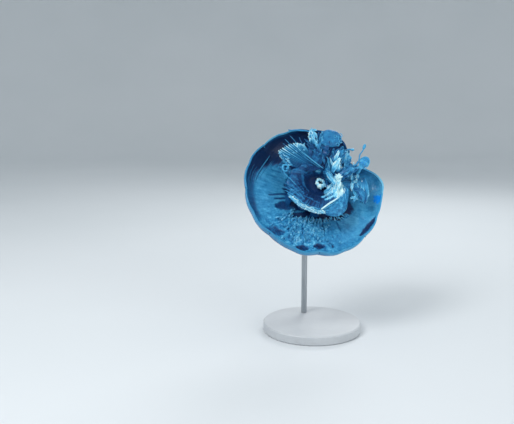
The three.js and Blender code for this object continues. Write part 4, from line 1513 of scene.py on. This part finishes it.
# ---------------------------------------------------------------- stand

STEEL = steel_material()
for node_name, finish in (("stand_base", base_material()), ("stand_rod", STEEL), ("stand_pad", STEEL)):
    nodes[node_name].data.materials.clear()
    nodes[node_name].data.materials.append(finish)

# ---------------------------------------------------------------- studio, lights and camera

FLOOR_RADIUS = 3.2
SWEEP = 1.6
WALL_TOP = 4.2


def make_studio():
    """A round pale floor that sweeps up into its wall, so that there is no horizon."""
    bm = bmesh.new()
    profile = [Vector((0, 0, 0)), Vector((FLOOR_RADIUS, 0, 0))]
    for step in range(1, 13):
        turned = math.radians(90 * step / 12)
        out = FLOOR_RADIUS + SWEEP * math.sin(turned)
        profile.append(Vector((out, 0, SWEEP * (1 - math.cos(turned)))))
    profile.append(Vector((FLOOR_RADIUS + SWEEP, 0, WALL_TOP)))
    line = [bm.verts.new(point) for point in profile]
    edges = [bm.edges.new(pair) for pair in zip(line, line[1:])]
    bmesh.ops.spin(
        bm, geom=line + edges, cent=(0, 0, 0), axis=(0, 0, 1), angle=2 * math.pi,
        steps=72, use_merge=True,
    )
    bmesh.ops.remove_doubles(bm, verts=bm.verts, dist=0.0001)
    for face in bm.faces:
        face.smooth = True
    mesh = bpy.data.meshes.new("studio_sweep")
    bm.to_mesh(mesh)
    bm.free()
    studio = bpy.data.objects.new("studio_sweep", mesh)
    mesh.materials.append(studio_material())
    bpy.context.scene.collection.objects.link(studio)


def make_light(name, place, size, power, tint="ffffff"):
    light = bpy.data.lights.new(name, "AREA")
    light.shape = "DISK"
    light.size = size
    light.energy = power
    light.color = colour(tint)[:3]
    lamp = bpy.data.objects.new(name, light)
    lamp.location = place
    lamp.rotation_euler = (BELL_MIDDLE - lamp.location).to_track_quat("-Z", "Y").to_euler()
    bpy.context.scene.collection.objects.link(lamp)


def make_world():
    world = bpy.data.worlds.new("studio")
    world.use_nodes = True
    sky = world.node_tree.nodes["Background"]
    sky.inputs["Color"].default_value = colour("e4eaee")
    sky.inputs["Strength"].default_value = 0.9
    bpy.context.scene.world = world


def make_camera():
    camera = bpy.data.cameras.new("camera")
    camera.lens = LENS
    camera.sensor_width = SENSOR
    eye = bpy.data.objects.new("camera", camera)
    eye.location = camera_place()
    eye.rotation_euler = camera_turn()
    bpy.context.scene.collection.objects.link(eye)
    bpy.context.scene.camera = eye


make_studio()
make_world()
make_light("key", (-0.9, -1.0, 1.5), 0.8, 19)
make_light("fill", (1.4, -1.1, 0.8), 1.2, 9)
make_light("back", (0.4, 1.4, 1.3), 0.8, 10)
make_camera()
bpy.context.scene.view_settings.view_transform = "Standard"
